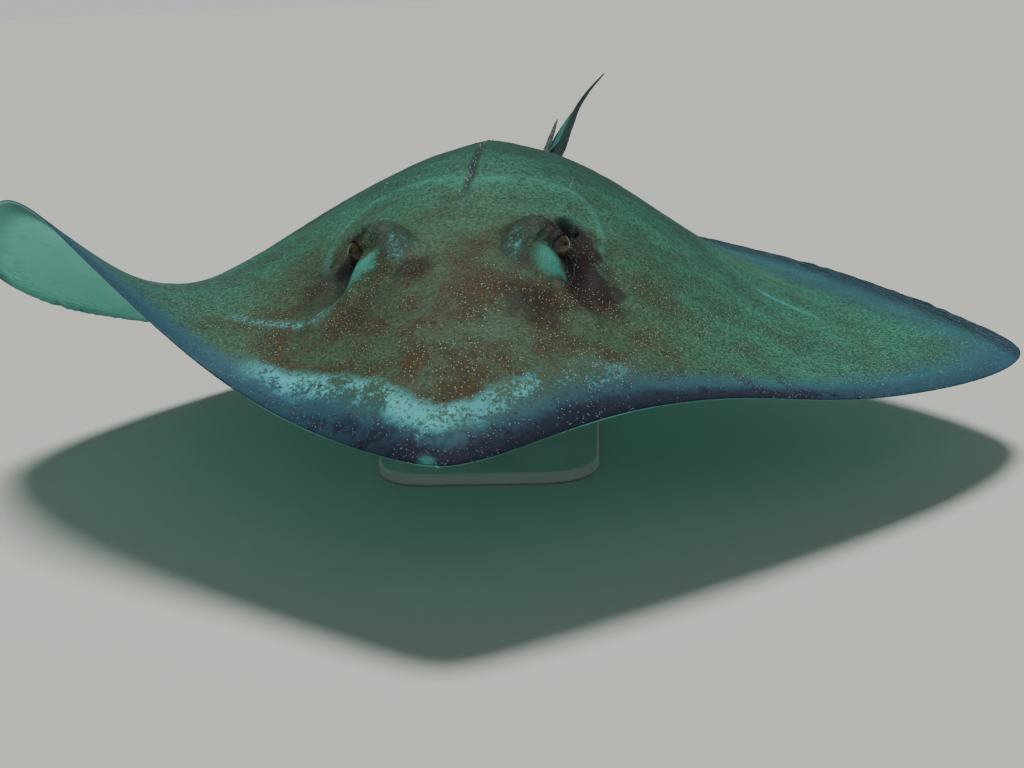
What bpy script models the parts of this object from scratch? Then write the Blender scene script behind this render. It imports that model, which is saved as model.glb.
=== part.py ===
"""A southern stingray gliding close over the bottom, life size, on a plain display stand.

The disc, which is the head, trunk and both pectoral fins of a ray, is modelled as one closed
body from a plan outline, a height over it and a bend for each wing, and is then parted with
thin cuts. The tail is swept along one curve in three lengths. Metres, +Z up, the head towards
-Y, and +X to the animal's left. The origin is under the middle of the stand's base, on the floor.
"""

import math

import bmesh
import bpy
import numpy as np
from mathutils import Vector

# ---- driving dimensions, in metres ----
DISC_WIDTH = 1.05          # wing tip to wing tip, laid flat
GAP = 0.0003               # clearance between two pieces that meet
GLIDE_HEIGHT = 0.165       # the floor to the rim of the disc at its middle
RIM = 0.0016               # half the thickness of the fin's edge
BASE_SIZE = (0.22, 0.36, 0.012)
BASE_CORNER = 0.05
ROD_RADIUS = 0.007
ROD_PLACES = (("stand_rod_front", 0.41), ("stand_rod_rear", 0.60))  # shares back from the snout

# ---- the animal's proportions, in shares of the disc width ----
MIDDLE_BACK = 0.50         # snout to the point over the middle of the base
TIP_BACK = 0.424           # snout to the line through the wing tips
REAR_BACK = 0.87           # snout to the rear corners of the disc
FRONT_SLOPE = 0.34         # how fast the front edge falls back from the snout
SNOUT_ROUNDING = 0.05
FRONT_TIP_POWER = 4.8      # higher is a squarer wing tip
REAR_CORNER = 0.24         # share of the half span where each rear corner lies
REAR_SLOPE = 0.50
REAR_ROUNDING = 0.07
REAR_TIP_POWER = 5.2
RIDGE_HEIGHT = ((0.0, 0.006), (0.06, 0.027), (0.21, 0.081), (0.45, 0.123), (0.65, 0.104), (0.87, 0.035))
RIDGE_REACH = ((0.0, 0.10), (0.06, 0.165), (0.21, 0.275), (0.45, 0.355), (0.87, 0.20))
REAR_THINNING = 0.055      # how far in from its rear edge the disc thickens
FRONT_THINNING = 0.012     # the same from its front edge
ROOT_REACH = 0.055         # beside the midline, where the tail's root keeps the back thick
FIN_FULLNESS = 0.013
BELLY_DEPTH = 0.008
BELLY_REACH = 0.17
SNOUT_DIP = 0.020

# ---- the wing beat: lift and twist at shares of the half span ----
LIFT_LEFT = ((0.0, 0.0), (0.2, -0.005), (0.4, -0.018), (0.6, -0.038), (0.8, -0.052), (1.0, -0.063))
LIFT_RIGHT = ((0.0, 0.0), (0.2, -0.006), (0.4, -0.001), (0.6, 0.0), (0.8, 0.033), (1.0, 0.035))
TWIST_LEFT = ((0.0, 0.0), (0.4, 0.0), (0.7, 0.04), (1.0, 0.06))
TWIST_RIGHT = ((0.0, 0.0), (0.4, -0.08), (0.7, -0.48), (1.0, -0.72))
CURL_LEFT, CURL_RIGHT = 0.06, 0.13
REACH_LOST_RIGHT = 0.045   # share of the reach that the right wing loses by bending

# ---- head ----
EYE_OUT, EYE_BACK, EYE_RISE, EYE_RADIUS = 0.0755, 0.212, 0.0085, 0.0125
BROW_OUT, BROW_BACK, BROW_HEIGHT = 0.066, 0.214, 0.024
BROW_REACH = (0.040, 0.047)
SPIRACLE_OUT, SPIRACLE_BACK, SPIRACLE_DEPTH = 0.085, 0.268, 0.013
SPIRACLE_REACH = (0.018, 0.030)
CHEEK_OUT, CHEEK_BACK, CHEEK_DEPTH = 0.107, 0.202, 0.008
CHEEK_REACH = (0.028, 0.05)
HEAD_HALF, HEAD_END = 0.135, 0.305
TRUNK_TAPER = ((HEAD_HALF, 0.42), (0.047, 0.74))

# ---- tail, pelvic fins and spine ----
TAIL_START = 0.765
TAIL_LINE = (
    (0.0, TAIL_START, 0.031), (0.016, 0.88, 0.041), (0.037, 1.0, 0.050), (0.052, 1.13, 0.057),
    (0.062, 1.35, 0.067), (0.073, 1.62, 0.078), (0.092, 1.88, 0.089), (0.122, 2.20, 0.101),
)
TAIL_WIDTH = (
    (0.0, 0.0455), (0.05, 0.031), (0.1, 0.021), (0.16, 0.0135),
    (0.25, 0.0088), (0.5, 0.0052), (0.8, 0.0028), (1.0, 0.0014),
)
TAIL_DEPTH = (
    (0.0, 0.042), (0.05, 0.030), (0.1, 0.020), (0.16, 0.0130),
    (0.25, 0.0085), (0.5, 0.0052), (0.8, 0.0028), (1.0, 0.0014),
)
TAIL_PARTS = (("tail_base", 0.0, 0.26), ("tail_middle", 0.26, 0.60), ("tail_whip", 0.60, 1.0))
FOLD_SPAN = (0.17, 0.58)   # shares of the tail that the fold of skin runs along
FOLD_DEPTH = 0.020
FOLD_ANGLE = math.radians(205)
FOLD_HALF = 0.0008         # metres, half its thickness at the edge
SPINE_AT, SPINE_LENGTH, SPINE_HALF = 0.165, 0.155, 0.0042
SPINE_LIFT = math.radians(9)       # over the tail
SPINE_TURN = math.radians(3)       # towards the animal's right
SPINE_TEETH = 13
PELVIC_INNER, PELVIC_FRONT, PELVIC_LENGTH, PELVIC_REACH = 0.052, 0.745, 0.175, 0.078
PELVIC_THICKNESS = 0.0045
PELVIC_UNDER = 0.0012      # how far under the disc each pelvic fin lies
PELVIC_DROOP = 0.10        # how steeply it falls behind the disc

# ---- how finely each surface is divided ----
WING_STATIONS = (0.33, 0.40, 0.48, 0.56, 0.64, 0.72, 0.80, 0.87, 0.93, 0.975, 0.9995)
RING_SIDES = 10


def through(stations, t):
    """A smooth curve through (place, value) stations, read at t."""
    places, values = np.array(stations, float).T
    slopes = np.gradient(values, places)
    i = np.clip(np.searchsorted(places, t) - 1, 0, len(places) - 2)
    step = places[i + 1] - places[i]
    s = np.clip((t - places[i]) / step, 0, 1)
    rise = values[i + 1] - values[i]
    start, end = slopes[i] * step, slopes[i + 1] * step
    return values[i] + s * (start + s * (3 * rise - 2 * start - end + s * (start + end - 2 * rise)))


def hill(across, reach):
    """1 in the middle, falling smoothly to 0 at the reach."""
    return (1 + np.cos(np.pi * np.clip(across / reach, 0, 1))) / 2


def mound(x, y, at, reach):
    """A smooth oval mound over the plan, on both sides of the body."""
    return hill(np.hypot((np.abs(x) - at[0]) / reach[0], (y - at[1]) / reach[1]), 1.0)


def brow(x, y):
    """The raised brow over each eye, steep at its sides."""
    return mound(x, y, (BROW_OUT, BROW_BACK), BROW_REACH) ** 0.75


def front_edge(a):
    blunt = np.hypot(a, SNOUT_ROUNDING) - SNOUT_ROUNDING
    full = math.hypot(1, SNOUT_ROUNDING) - SNOUT_ROUNDING
    tip = 1 - np.sqrt(np.clip(1 - a**FRONT_TIP_POWER, 0, 1))
    return FRONT_SLOPE * blunt + (TIP_BACK - FRONT_SLOPE * full) * tip


def rear_edge(a):
    def corner(b):
        return REAR_BACK - REAR_SLOPE * (np.hypot(b - REAR_CORNER, REAR_ROUNDING) - REAR_ROUNDING)

    tip = 1 - np.sqrt(np.clip(1 - a**REAR_TIP_POWER, 0, 1))
    return corner(a) - (corner(1.0) - TIP_BACK) * tip


def bend(x, y):
    """The lift of the disc's middle surface at a plan point, in shares of the disc width."""
    a = np.abs(x) / 0.5
    chord = y - TIP_BACK

    def wing(lift, twist, curl):
        return through(lift, a) + through(twist, a) * chord + 4 * curl * a**2 * chord**2

    left = wing(LIFT_LEFT, TWIST_LEFT, CURL_LEFT)
    right = wing(LIFT_RIGHT, TWIST_RIGHT, CURL_RIGHT)
    dip = SNOUT_DIP * np.exp(-((x / 0.12) ** 2) - (y / 0.10) ** 2)
    return np.where(x > 0, left, right) - dip


def back_height(x, y):
    """How far the back stands over the middle surface."""
    a = np.abs(x) / 0.5
    to_front = np.clip(y - front_edge(a), 0, 1)
    to_rear = np.clip(rear_edge(a) - y, 0, 1)
    thin = (1 - hill(np.abs(x), ROOT_REACH)) * np.exp(-to_rear / REAR_THINNING)
    ridge = through(RIDGE_HEIGHT, y) * hill(np.abs(x), through(RIDGE_REACH, y)) * (1 - thin)
    ridge = ridge * (1 - np.exp(-to_front / FRONT_THINNING))
    fin = FIN_FULLNESS * (1 - np.exp(-to_front / 0.05)) * (1 - np.exp(-to_rear / 0.06)) * (1 - a)
    head = BROW_HEIGHT * brow(x, y)
    head -= SPIRACLE_DEPTH * mound(x, y, (SPIRACLE_OUT, SPIRACLE_BACK), SPIRACLE_REACH)
    head -= CHEEK_DEPTH * mound(x, y, (CHEEK_OUT, CHEEK_BACK), CHEEK_REACH)
    return ridge + fin + head


def belly_depth(x, y):
    inside = np.clip((y - 0.04) / 0.2, 0, 1) * np.clip((0.84 - y) / 0.2, 0, 1)
    return BELLY_DEPTH * hill(np.abs(x), BELLY_REACH) * np.sin(np.clip(inside, 0, 1) * math.pi / 2)


def place(x, y, z):
    """Plan shares and a height share to metres in the model's frame."""
    lost = np.where(x < 0, REACH_LOST_RIGHT * (x / 0.5) ** 2, 0.0)
    return np.stack(
        [
            x * (1 - lost) * DISC_WIDTH,
            (y - MIDDLE_BACK) * DISC_WIDTH,
            z * DISC_WIDTH + GLIDE_HEIGHT,
        ],
        -1,
    )


def back_point(x, y, over=0.0):
    return place(x, y, bend(x, y) + back_height(x, y) + RIM / DISC_WIDTH + over)


def belly_point(x, y, under=0.0):
    return place(x, y, bend(x, y) - belly_depth(x, y) - RIM / DISC_WIDTH - under)


def new_object(name, material, verts, faces, smooth_angle=40):
    mesh = bpy.data.meshes.new(name)
    mesh.from_pydata([tuple(float(c) for c in v) for v in verts], [], faces)
    mesh.validate()
    bm = bmesh.new()
    bm.from_mesh(mesh)
    bmesh.ops.recalc_face_normals(bm, faces=bm.faces)
    bm.to_mesh(mesh)
    bm.free()
    mesh.shade_smooth()
    mesh.set_sharp_from_angle(angle=math.radians(smooth_angle))
    obj = bpy.data.objects.new(name, mesh)
    if material:
        mesh.materials.append(material)
    bpy.context.scene.collection.objects.link(obj)
    return obj


def finish_material(name, colour, roughness, metallic=0.0):
    material = bpy.data.materials.new(name)
    material.use_nodes = True
    shader = material.node_tree.nodes["Principled BSDF"]
    shader.inputs["Base Color"].default_value = (*colour, 1)
    shader.inputs["Roughness"].default_value = roughness
    shader.inputs["Metallic"].default_value = metallic
    return material


def slab(top, bottom):
    """Vertices and faces of a closed slab between two grids of points of the same size."""
    rows, columns = top.shape[:2]
    verts = np.concatenate([top.reshape(-1, 3), bottom.reshape(-1, 3)])
    under = rows * columns
    faces = []
    for r in range(rows - 1):
        for c in range(columns - 1):
            i = r * columns + c
            quad = (i, i + 1, i + columns + 1, i + columns)
            faces += [quad, tuple(under + k for k in reversed(quad))]
    rim = [c for c in range(columns)] + [r * columns + columns - 1 for r in range(1, rows)]
    rim += [(rows - 1) * columns + c for c in range(columns - 2, -1, -1)]
    rim += [r * columns for r in range(rows - 2, 0, -1)]
    faces += [(a, under + a, under + b, b) for a, b in zip(rim, rim[1:] + rim[:1])]
    return verts, faces


def sweep(rings):
    """Vertices and faces of a closed tube through rings of points, with flat ends."""
    count, sides = len(rings), len(rings[0])
    verts = [p for ring in rings for p in ring]
    faces = [tuple(range(sides)), tuple((count - 1) * sides + k for k in reversed(range(sides)))]
    for r in range(count - 1):
        for k in range(sides):
            i, j = r * sides + k, r * sides + (k + 1) % sides
            faces.append((i, i + sides, j + sides, j))
    return verts, faces


def cut(obj, tool, operation):
    """Applies one exact Boolean and keeps only its result."""
    modifier = obj.modifiers.new(operation.lower(), "BOOLEAN")
    modifier.operation = operation
    modifier.solver = "EXACT"
    modifier.object = tool
    tool.hide_render = True
    tool.display_type = "WIRE"


def chord_shares():
    """Where the rows lie between the front edge and the rear edge, close over the eyes."""
    places = np.linspace(0, 1, 401)
    closeness = 1 + 2.2 * hill(np.abs(places - 0.29), 0.17) + 2.5 * np.exp(-places / 0.02)
    closeness += 1.2 * np.exp(-(1 - places) / 0.03)
    travelled = np.concatenate([[0], np.cumsum((closeness[1:] + closeness[:-1]) / 2)])
    return np.interp(np.linspace(0, travelled[-1], 31), travelled, places)


def make_disc():
    """The whole disc as one closed body, before it is parted."""
    inner = np.linspace(0, 2 * HEAD_HALF, 13)
    spans = np.concatenate([inner, WING_STATIONS])
    a = np.concatenate([-spans[:0:-1], spans])
    share = chord_shares()
    front, rear = front_edge(np.abs(a)), rear_edge(np.abs(a))
    x = np.repeat(a[:, None] / 2, len(share), 1)
    y = front[:, None] + (rear - front)[:, None] * share
    return slab(back_point(x, y), belly_point(x, y))


def prism(name, outline):
    """An upright cutting tool over a plan outline given in shares of the disc width."""
    low, high = -0.5, 1.0
    points = [((x * DISC_WIDTH), (y - MIDDLE_BACK) * DISC_WIDTH) for x, y in outline]
    rings = [[(px, py, z) for px, py in points] for z in (low, high)]
    return new_object(name, None, *sweep(rings))


def part_disc(skin):
    """The head, the trunk and the two wings, each cut from a copy of the disc."""
    g = GAP / 2 / DISC_WIDTH
    h, (c, taper), (n, narrow) = HEAD_HALF, TRUNK_TAPER[0], TRUNK_TAPER[1]
    outlines = {
        "head": [(-h + g, -0.2), (h - g, -0.2), (h - g, HEAD_END - g), (-h + g, HEAD_END - g)],
        "trunk": [
            (-h + g, HEAD_END + g), (h - g, HEAD_END + g), (c - g, taper), (n - g, narrow),
            (n - g, TAIL_START - g), (-n + g, TAIL_START - g), (-n + g, narrow), (-c + g, taper),
        ],
    }
    side = [(h + g, -0.2), (0.7, -0.2), (0.7, 1.2), (n + g, 1.2), (n + g, narrow + g), (h + g, taper + g)]
    outlines["wing_left"] = side
    outlines["wing_right"] = [(-x, y) for x, y in reversed(side)]
    verts, faces = make_disc()
    parts = {}
    for name, outline in outlines.items():
        parts[name] = new_object(name, skin, verts, faces)
        cut(parts[name], prism(name + "_tool", outline), "INTERSECT")
    return parts


def eye_centre(side):
    x, y = side * EYE_OUT, EYE_BACK
    rise = back_height(x, y) - BROW_HEIGHT * brow(x, y)
    return place(np.array(x), np.array(y), bend(x, y) + rise + EYE_RISE)


def ball(name, material, centre, radius, columns=14, rows=8):
    mesh = bpy.data.meshes.new(name)
    bm = bmesh.new()
    bmesh.ops.create_uvsphere(bm, u_segments=columns, v_segments=rows, radius=radius)
    bmesh.ops.translate(bm, verts=bm.verts, vec=Vector(centre))
    bm.to_mesh(mesh)
    bm.free()
    mesh.shade_smooth()
    if material:
        mesh.materials.append(material)
    obj = bpy.data.objects.new(name, mesh)
    bpy.context.scene.collection.objects.link(obj)
    return obj


def make_eyes(head, iris):
    """Eyeballs on the outer side of each brow, in sockets cut to fit them."""
    for name, side in (("eye_left", 1), ("eye_right", -1)):
        centre, radius = eye_centre(side), EYE_RADIUS * DISC_WIDTH
        ball(name, iris, centre, radius)
        cut(head, ball(name + "_socket", None, centre, radius + 2 * GAP), "DIFFERENCE")


def make_pelvic_fins(skin):
    """The paired fins behind the disc, their front parts lying just under its rear corners."""
    t = np.linspace(0.02, 0.98, 11)[:, None]
    s = np.linspace(0, 1, 5)[None, :]
    reach = PELVIC_REACH * np.sin(np.pi * t**1.15) ** 0.55
    x = PELVIC_INNER + reach * s
    y = PELVIC_FRONT + PELVIC_LENGTH * t + 0.012 * s
    free_from = REAR_BACK - 0.07
    for name, side in (("pelvic_fin_left", 1), ("pelvic_fin_right", -1)):
        top = belly_point(side * x, np.minimum(y, REAR_BACK - 0.04), PELVIC_UNDER)
        top[..., 1] = (y - MIDDLE_BACK) * DISC_WIDTH
        top[..., 2] -= PELVIC_DROOP * np.clip(y - free_from, 0, 1) * DISC_WIDTH
        low = top.copy()
        low[..., 2] -= (PELVIC_THICKNESS * (1 - 0.7 * s**2) + PELVIC_UNDER) * DISC_WIDTH
        new_object(name, skin, *slab(top, low))


def tail_point(t):
    """The tail's centreline at a share of its length, in metres."""
    line = np.array(TAIL_LINE)
    travelled = np.concatenate([[0], np.cumsum(np.linalg.norm(np.diff(line, axis=0), axis=1))])
    shares = travelled / travelled[-1]
    x, y, z = (through(np.stack([shares, line[:, k]], 1), t) for k in range(3))
    return Vector((float(x), float(y - MIDDLE_BACK), float(z))) * DISC_WIDTH + Vector((0, 0, GLIDE_HEIGHT))


def tail_frame(t):
    """The centre, the way back along the tail, the way left and the way up at a share."""
    back = (tail_point(min(t + 0.004, 1)) - tail_point(max(t - 0.004, 0))).normalized()
    left = back.cross(Vector((0, 0, 1))).normalized()
    return tail_point(t), back, left, left.cross(back)


def tail_size(t):
    return float(through(TAIL_WIDTH, t)) * DISC_WIDTH, float(through(TAIL_DEPTH, t)) * DISC_WIDTH


def tail_ring(t):
    centre, _, left, up = tail_frame(t)
    wide, deep = tail_size(t)
    turns = [2 * math.pi * k / RING_SIDES for k in range(RING_SIDES)]
    return [centre + left * wide * math.cos(a) + up * deep * math.sin(a) for a in turns]


def make_tail(skin):
    """Three lengths of one tapering whip, each ending in a flat face."""
    length = sum(
        (tail_point((k + 1) / 200) - tail_point(k / 200)).length for k in range(200)
    )
    slack = GAP / length
    for name, start, end in TAIL_PARTS:
        first = start + slack / 2 if start else 0.0
        last = end - slack / 2 if end < 1 else 1.0
        rings = [tail_ring(t) for t in np.linspace(first, last, 12)]
        if start == 0:
            flat = (TAIL_START - MIDDLE_BACK) * DISC_WIDTH + GAP
            rings[0] = [Vector((p.x, flat, p.z)) for p in rings[0]]
        new_object(name, skin, *sweep(rings))


def make_fold(skin):
    """The fold of skin below the tail, swung out to the animal's right."""
    rings = []
    for t in np.linspace(*FOLD_SPAN, 22):
        centre, _, left, up = tail_frame(t)
        out = left * math.cos(FOLD_ANGLE) + up * math.sin(FOLD_ANGLE)
        across = left * -math.sin(FOLD_ANGLE) + up * math.cos(FOLD_ANGLE)
        share = (t - FOLD_SPAN[0]) / (FOLD_SPAN[1] - FOLD_SPAN[0])
        rise = math.sin(math.pi * min(share * 1.6, 0.5 + 0.5 * share)) ** 0.7
        depth = FOLD_DEPTH * DISC_WIDTH * rise + 0.002
        root = centre + out * (max(tail_size(t)) + 2 * GAP)
        thick = FOLD_HALF * 1.8
        rings.append(
            [root - across * thick, root + across * thick,
             root + out * depth + across * FOLD_HALF, root + out * depth - across * FOLD_HALF]
        )
    new_object("tail_fold", skin, *sweep(rings), smooth_angle=60)


def make_spine(bone):
    """The sting: a flat tapering blade with saw teeth on both edges that point forwards."""
    centre, back, left, up = tail_frame(SPINE_AT)
    flat = back * math.cos(SPINE_TURN) - left * math.sin(SPINE_TURN)
    along = (flat * math.cos(SPINE_LIFT) + up * math.sin(SPINE_LIFT)).normalized()
    left = along.cross(up).normalized()
    normal = left.cross(along)
    root = centre + up * (tail_size(SPINE_AT)[1] + 6 * GAP + SPINE_HALF * DISC_WIDTH * 0.45)
    length, half = SPINE_LENGTH * DISC_WIDTH, SPINE_HALF * DISC_WIDTH
    rings = []
    steps = SPINE_TEETH * 2
    for k in range(steps + 1):
        share = k / steps
        width = half * (1 - share**2.2) ** 0.6 * (0.8 if k % 2 and share > 0.25 else 1.0) + 0.0003
        thick = 0.45 * half * (1 - share**2) ** 0.7 + 0.0002
        at = root + along * length * share
        ring = [(width, 0), (width * 0.45, thick), (-width * 0.45, thick), (-width, 0), (0, -thick)]
        rings.append([at + left * u + normal * v for u, v in ring])
    new_object("tail_spine", bone, *sweep(rings), smooth_angle=25)


def make_stand(base_paint, steel):
    """A flat base with two short rods up to the underside of the trunk."""
    wide, long, thick = BASE_SIZE
    outline = []
    for sx, sy, turn in ((1, 1, 0), (-1, 1, 90), (-1, -1, 180), (1, -1, 270)):
        for k in range(7):
            angle = math.radians(turn + 15 * k)
            corner = (sx * (wide / 2 - BASE_CORNER), sy * (long / 2 - BASE_CORNER))
            turn_out = (math.cos(angle), math.sin(angle))
            outline.append(tuple(c + BASE_CORNER * t for c, t in zip(corner, turn_out)))
    rings = [[(x, y, z) for x, y in outline] for z in (0, thick)]
    base = new_object("stand_base", base_paint, *sweep(rings))
    bevel = base.modifiers.new("edge", "BEVEL")
    bevel.width = 0.002
    bevel.segments = 1
    for name, back in ROD_PLACES:
        x, y = 0.0, (back - MIDDLE_BACK) * DISC_WIDTH
        foot = ROD_RADIUS * 1.5 / DISC_WIDTH * np.linspace(-1, 1, 5)
        meets = belly_point(*np.meshgrid(foot, back + foot))[..., 2].min()
        rings = []
        for z, radius in (
            (thick + GAP, ROD_RADIUS * 2.1), (thick + 0.010, ROD_RADIUS * 2.1),
            (thick + 0.012, ROD_RADIUS), (meets - 0.010, ROD_RADIUS),
            (meets - 0.006, ROD_RADIUS * 1.5), (meets - 0.0006, ROD_RADIUS * 1.5),
        ):
            turns = [2 * math.pi * k / 14 for k in range(14)]
            rings.append([(x + radius * math.cos(a), y + radius * math.sin(a), z) for a in turns])
        new_object(name, steel, *sweep(rings))


def main():
    for obj in list(bpy.data.objects):
        bpy.data.objects.remove(obj)
    skin = finish_material("skin", (0.16, 0.14, 0.08), 0.45)
    iris = finish_material("iris", (0.45, 0.30, 0.06), 0.12)
    bone = finish_material("bone", (0.55, 0.50, 0.38), 0.5)
    base_paint = finish_material("base_paint", (0.60, 0.60, 0.58), 0.5)
    steel = finish_material("rod_steel", (0.55, 0.56, 0.57), 0.3, 1.0)
    parts = part_disc(skin)
    make_eyes(parts["head"], iris)
    make_pelvic_fins(skin)
    make_tail(skin)
    make_fold(skin)
    make_spine(bone)
    make_stand(base_paint, steel)


main()
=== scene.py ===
# %% [markdown]
# # A southern stingray, life size, gliding close over the bottom
# This notebook dresses a packed model of a ray. The solids under it give the sizes, and the
# skin, eyes, sting and stand made here give the looks. Each step says what the piece is on the
# animal, how it could be made in Blender, and why it is made this way.

# %% Load the frame
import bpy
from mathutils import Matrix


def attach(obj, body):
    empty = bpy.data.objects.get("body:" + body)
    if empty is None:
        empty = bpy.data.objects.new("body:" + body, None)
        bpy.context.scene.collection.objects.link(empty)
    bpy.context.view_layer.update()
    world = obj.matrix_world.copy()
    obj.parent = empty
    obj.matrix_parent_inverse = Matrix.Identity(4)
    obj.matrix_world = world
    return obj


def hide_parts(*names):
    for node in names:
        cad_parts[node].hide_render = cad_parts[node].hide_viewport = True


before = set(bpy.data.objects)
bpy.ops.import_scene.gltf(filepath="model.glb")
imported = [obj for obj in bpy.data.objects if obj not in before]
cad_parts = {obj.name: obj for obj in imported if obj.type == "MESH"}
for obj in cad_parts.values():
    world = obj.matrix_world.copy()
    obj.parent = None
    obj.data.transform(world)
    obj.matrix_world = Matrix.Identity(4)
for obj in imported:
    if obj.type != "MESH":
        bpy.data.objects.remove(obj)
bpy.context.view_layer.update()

# %% Tools used below
import math

import bmesh
import bpy
import numpy as np
from mathutils import Matrix, Vector

print("Blender", bpy.app.version_string)

# %% [markdown]
# ## The animal's proportions
# A ray is measured in shares of its disc width, from wing tip to wing tip. The skin has to lie
# on the solids, so it uses the same driving sizes as they do. Places on the plan are given as
# x, out from the midline towards the animal's left, and y, back from the snout, both in shares.

# %% Sizes of the disc
DISC_WIDTH = 1.05
GLIDE_HEIGHT = 0.165
RIM = 0.0016
MIDDLE_BACK, TIP_BACK, REAR_BACK = 0.50, 0.424, 0.87
FRONT_SLOPE, SNOUT_ROUNDING, FRONT_TIP_POWER = 0.34, 0.05, 4.8
REAR_CORNER, REAR_SLOPE, REAR_ROUNDING, REAR_TIP_POWER = 0.24, 0.50, 0.07, 5.2
RIDGE_HEIGHT = (
    (0.0, 0.006), (0.06, 0.027), (0.21, 0.081), (0.45, 0.123), (0.65, 0.104), (0.87, 0.035),
)
RIDGE_REACH = ((0.0, 0.10), (0.06, 0.165), (0.21, 0.275), (0.45, 0.355), (0.87, 0.20))
REAR_THINNING, FRONT_THINNING, ROOT_REACH = 0.055, 0.012, 0.055
FIN_FULLNESS, FIN_FRONT, FIN_REAR = 0.013, 0.05, 0.06
BELLY_DEPTH, BELLY_REACH = 0.008, 0.17
SNOUT_DIP, SNOUT_DIP_REACH = 0.020, (0.12, 0.10)
print("disc", DISC_WIDTH, "m wide, gliding", GLIDE_HEIGHT, "m over the floor")

# %% The wing beat
LIFT_LEFT = ((0.0, 0.0), (0.2, -0.005), (0.4, -0.018), (0.6, -0.038), (0.8, -0.052), (1.0, -0.063))
LIFT_RIGHT = ((0.0, 0.0), (0.2, -0.006), (0.4, -0.001), (0.6, 0.0), (0.8, 0.033), (1.0, 0.035))
TWIST_LEFT = ((0.0, 0.0), (0.4, 0.0), (0.7, 0.04), (1.0, 0.06))
TWIST_RIGHT = ((0.0, 0.0), (0.4, -0.08), (0.7, -0.48), (1.0, -0.72))
CURL_LEFT, CURL_RIGHT, REACH_LOST_RIGHT = 0.06, 0.13, 0.045
print("the tips lie", LIFT_LEFT[-1][1], "and", LIFT_RIGHT[-1][1], "of the width off the middle")

# %% Sizes of the head
EYE_OUT, EYE_BACK, EYE_RISE, EYE_RADIUS = 0.0755, 0.212, 0.0085, 0.0125
BROW_OUT, BROW_BACK, BROW_REACH = 0.066, 0.214, (0.040, 0.047)
SPIRACLE_OUT, SPIRACLE_BACK, SPIRACLE_TURN = 0.085, 0.268, math.radians(10)
print("the eyes are", round(2 * EYE_OUT * DISC_WIDTH, 3), "m apart")

# %% Sizes of the tail
TAIL_START, TAIL_SPAN = 0.765, 1.435
TAIL_LINE = (
    (0.0, TAIL_START, 0.031), (0.016, 0.88, 0.041), (0.037, 1.0, 0.050), (0.052, 1.13, 0.057),
    (0.062, 1.35, 0.067), (0.073, 1.62, 0.078), (0.092, 1.88, 0.089), (0.122, 2.20, 0.101),
)
TAIL_WIDTH = (
    (0.0, 0.0455), (0.05, 0.031), (0.1, 0.021), (0.16, 0.0135),
    (0.25, 0.0088), (0.5, 0.0052), (0.8, 0.0028), (1.0, 0.0014),
)
TAIL_DEPTH = (
    (0.0, 0.042), (0.05, 0.030), (0.1, 0.020), (0.16, 0.0130),
    (0.25, 0.0085), (0.5, 0.0052), (0.8, 0.0028), (1.0, 0.0014),
)
print("the tail is about", round(TAIL_SPAN * DISC_WIDTH, 2), "m long")

# %% [markdown]
# ## The camera
# The camera comes first, because every later choice is judged through it. A diver holds it
# about four fifths of a disc width ahead of the snout, a little to the animal's left, looking
# down on the head and very slightly tipped to one side.

# %% Camera
CAMERA_OUT, CAMERA_AHEAD, CAMERA_RISE = 0.1141, 0.8231, 0.2737
CAMERA_LENS = 47.12
CAMERA_YAW, CAMERA_PITCH, CAMERA_ROLL = 4.23, 73.86, -2.46
camera = bpy.data.objects.new("camera", bpy.data.cameras.new("camera"))
camera.data.lens = CAMERA_LENS
turns = (("Z", CAMERA_YAW), ("X", CAMERA_PITCH), ("Z", CAMERA_ROLL))
facing = Matrix.Identity(4)
for axis, degrees in turns:
    facing = facing @ Matrix.Rotation(math.radians(degrees), 4, axis)
camera_place = Vector((CAMERA_OUT, -CAMERA_AHEAD - MIDDLE_BACK, CAMERA_RISE)) * DISC_WIDTH
camera.matrix_world = Matrix.Translation(camera_place + Vector((0, 0, GLIDE_HEIGHT))) @ facing
bpy.context.scene.collection.objects.link(camera)
bpy.context.scene.camera = camera
print("camera at", [round(c, 3) for c in camera.location])

# %% [markdown]
# ## Smooth curves and mounds
# Flesh has no straight lines, so every size above is read through a smooth curve, and every
# swelling on the body is a mound that fades to nothing at its reach. A sculpting brush could
# make such mounds, but a formula gives the same shape at each run and at any fineness.

# %% Curve helpers
def through(stations, t):
    """A smooth curve through (place, value) stations, read at t."""
    places, values = np.array(stations, float).T
    slopes = np.gradient(values, places)
    i = np.clip(np.searchsorted(places, t) - 1, 0, len(places) - 2)
    step = places[i + 1] - places[i]
    s = np.clip((t - places[i]) / step, 0, 1)
    rise = values[i + 1] - values[i]
    start, end = slopes[i] * step, slopes[i + 1] * step
    return values[i] + s * (start + s * (3 * rise - 2 * start - end + s * (start + end - 2 * rise)))


def hill(across, reach):
    """1 in the middle, falling smoothly to 0 at the reach."""
    return (1 + np.cos(np.pi * np.clip(across / reach, 0, 1))) / 2


def mound(x, y, at, reach):
    """A smooth oval mound on both sides of the body."""
    return hill(np.hypot((np.abs(x) - at[0]) / reach[0], (y - at[1]) / reach[1]), 1.0)


def ease(low, high, t):
    """0 below low, 1 above high, smooth between them."""
    s = np.clip((t - low) / (high - low), 0, 1)
    return s * s * (3 - 2 * s)


def crease(x, y, start, end, width):
    """1 along a line between two plan points, fading over the width, on both sides."""
    start, end = np.array(start), np.array(end)
    run = end - start
    u, v = np.abs(x) - start[0], y - start[1]
    along = np.clip((u * run[0] + v * run[1]) / (run @ run), 0, 1)
    return np.exp(-(((u - along * run[0]) ** 2 + (v - along * run[1]) ** 2) / width**2))


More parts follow.
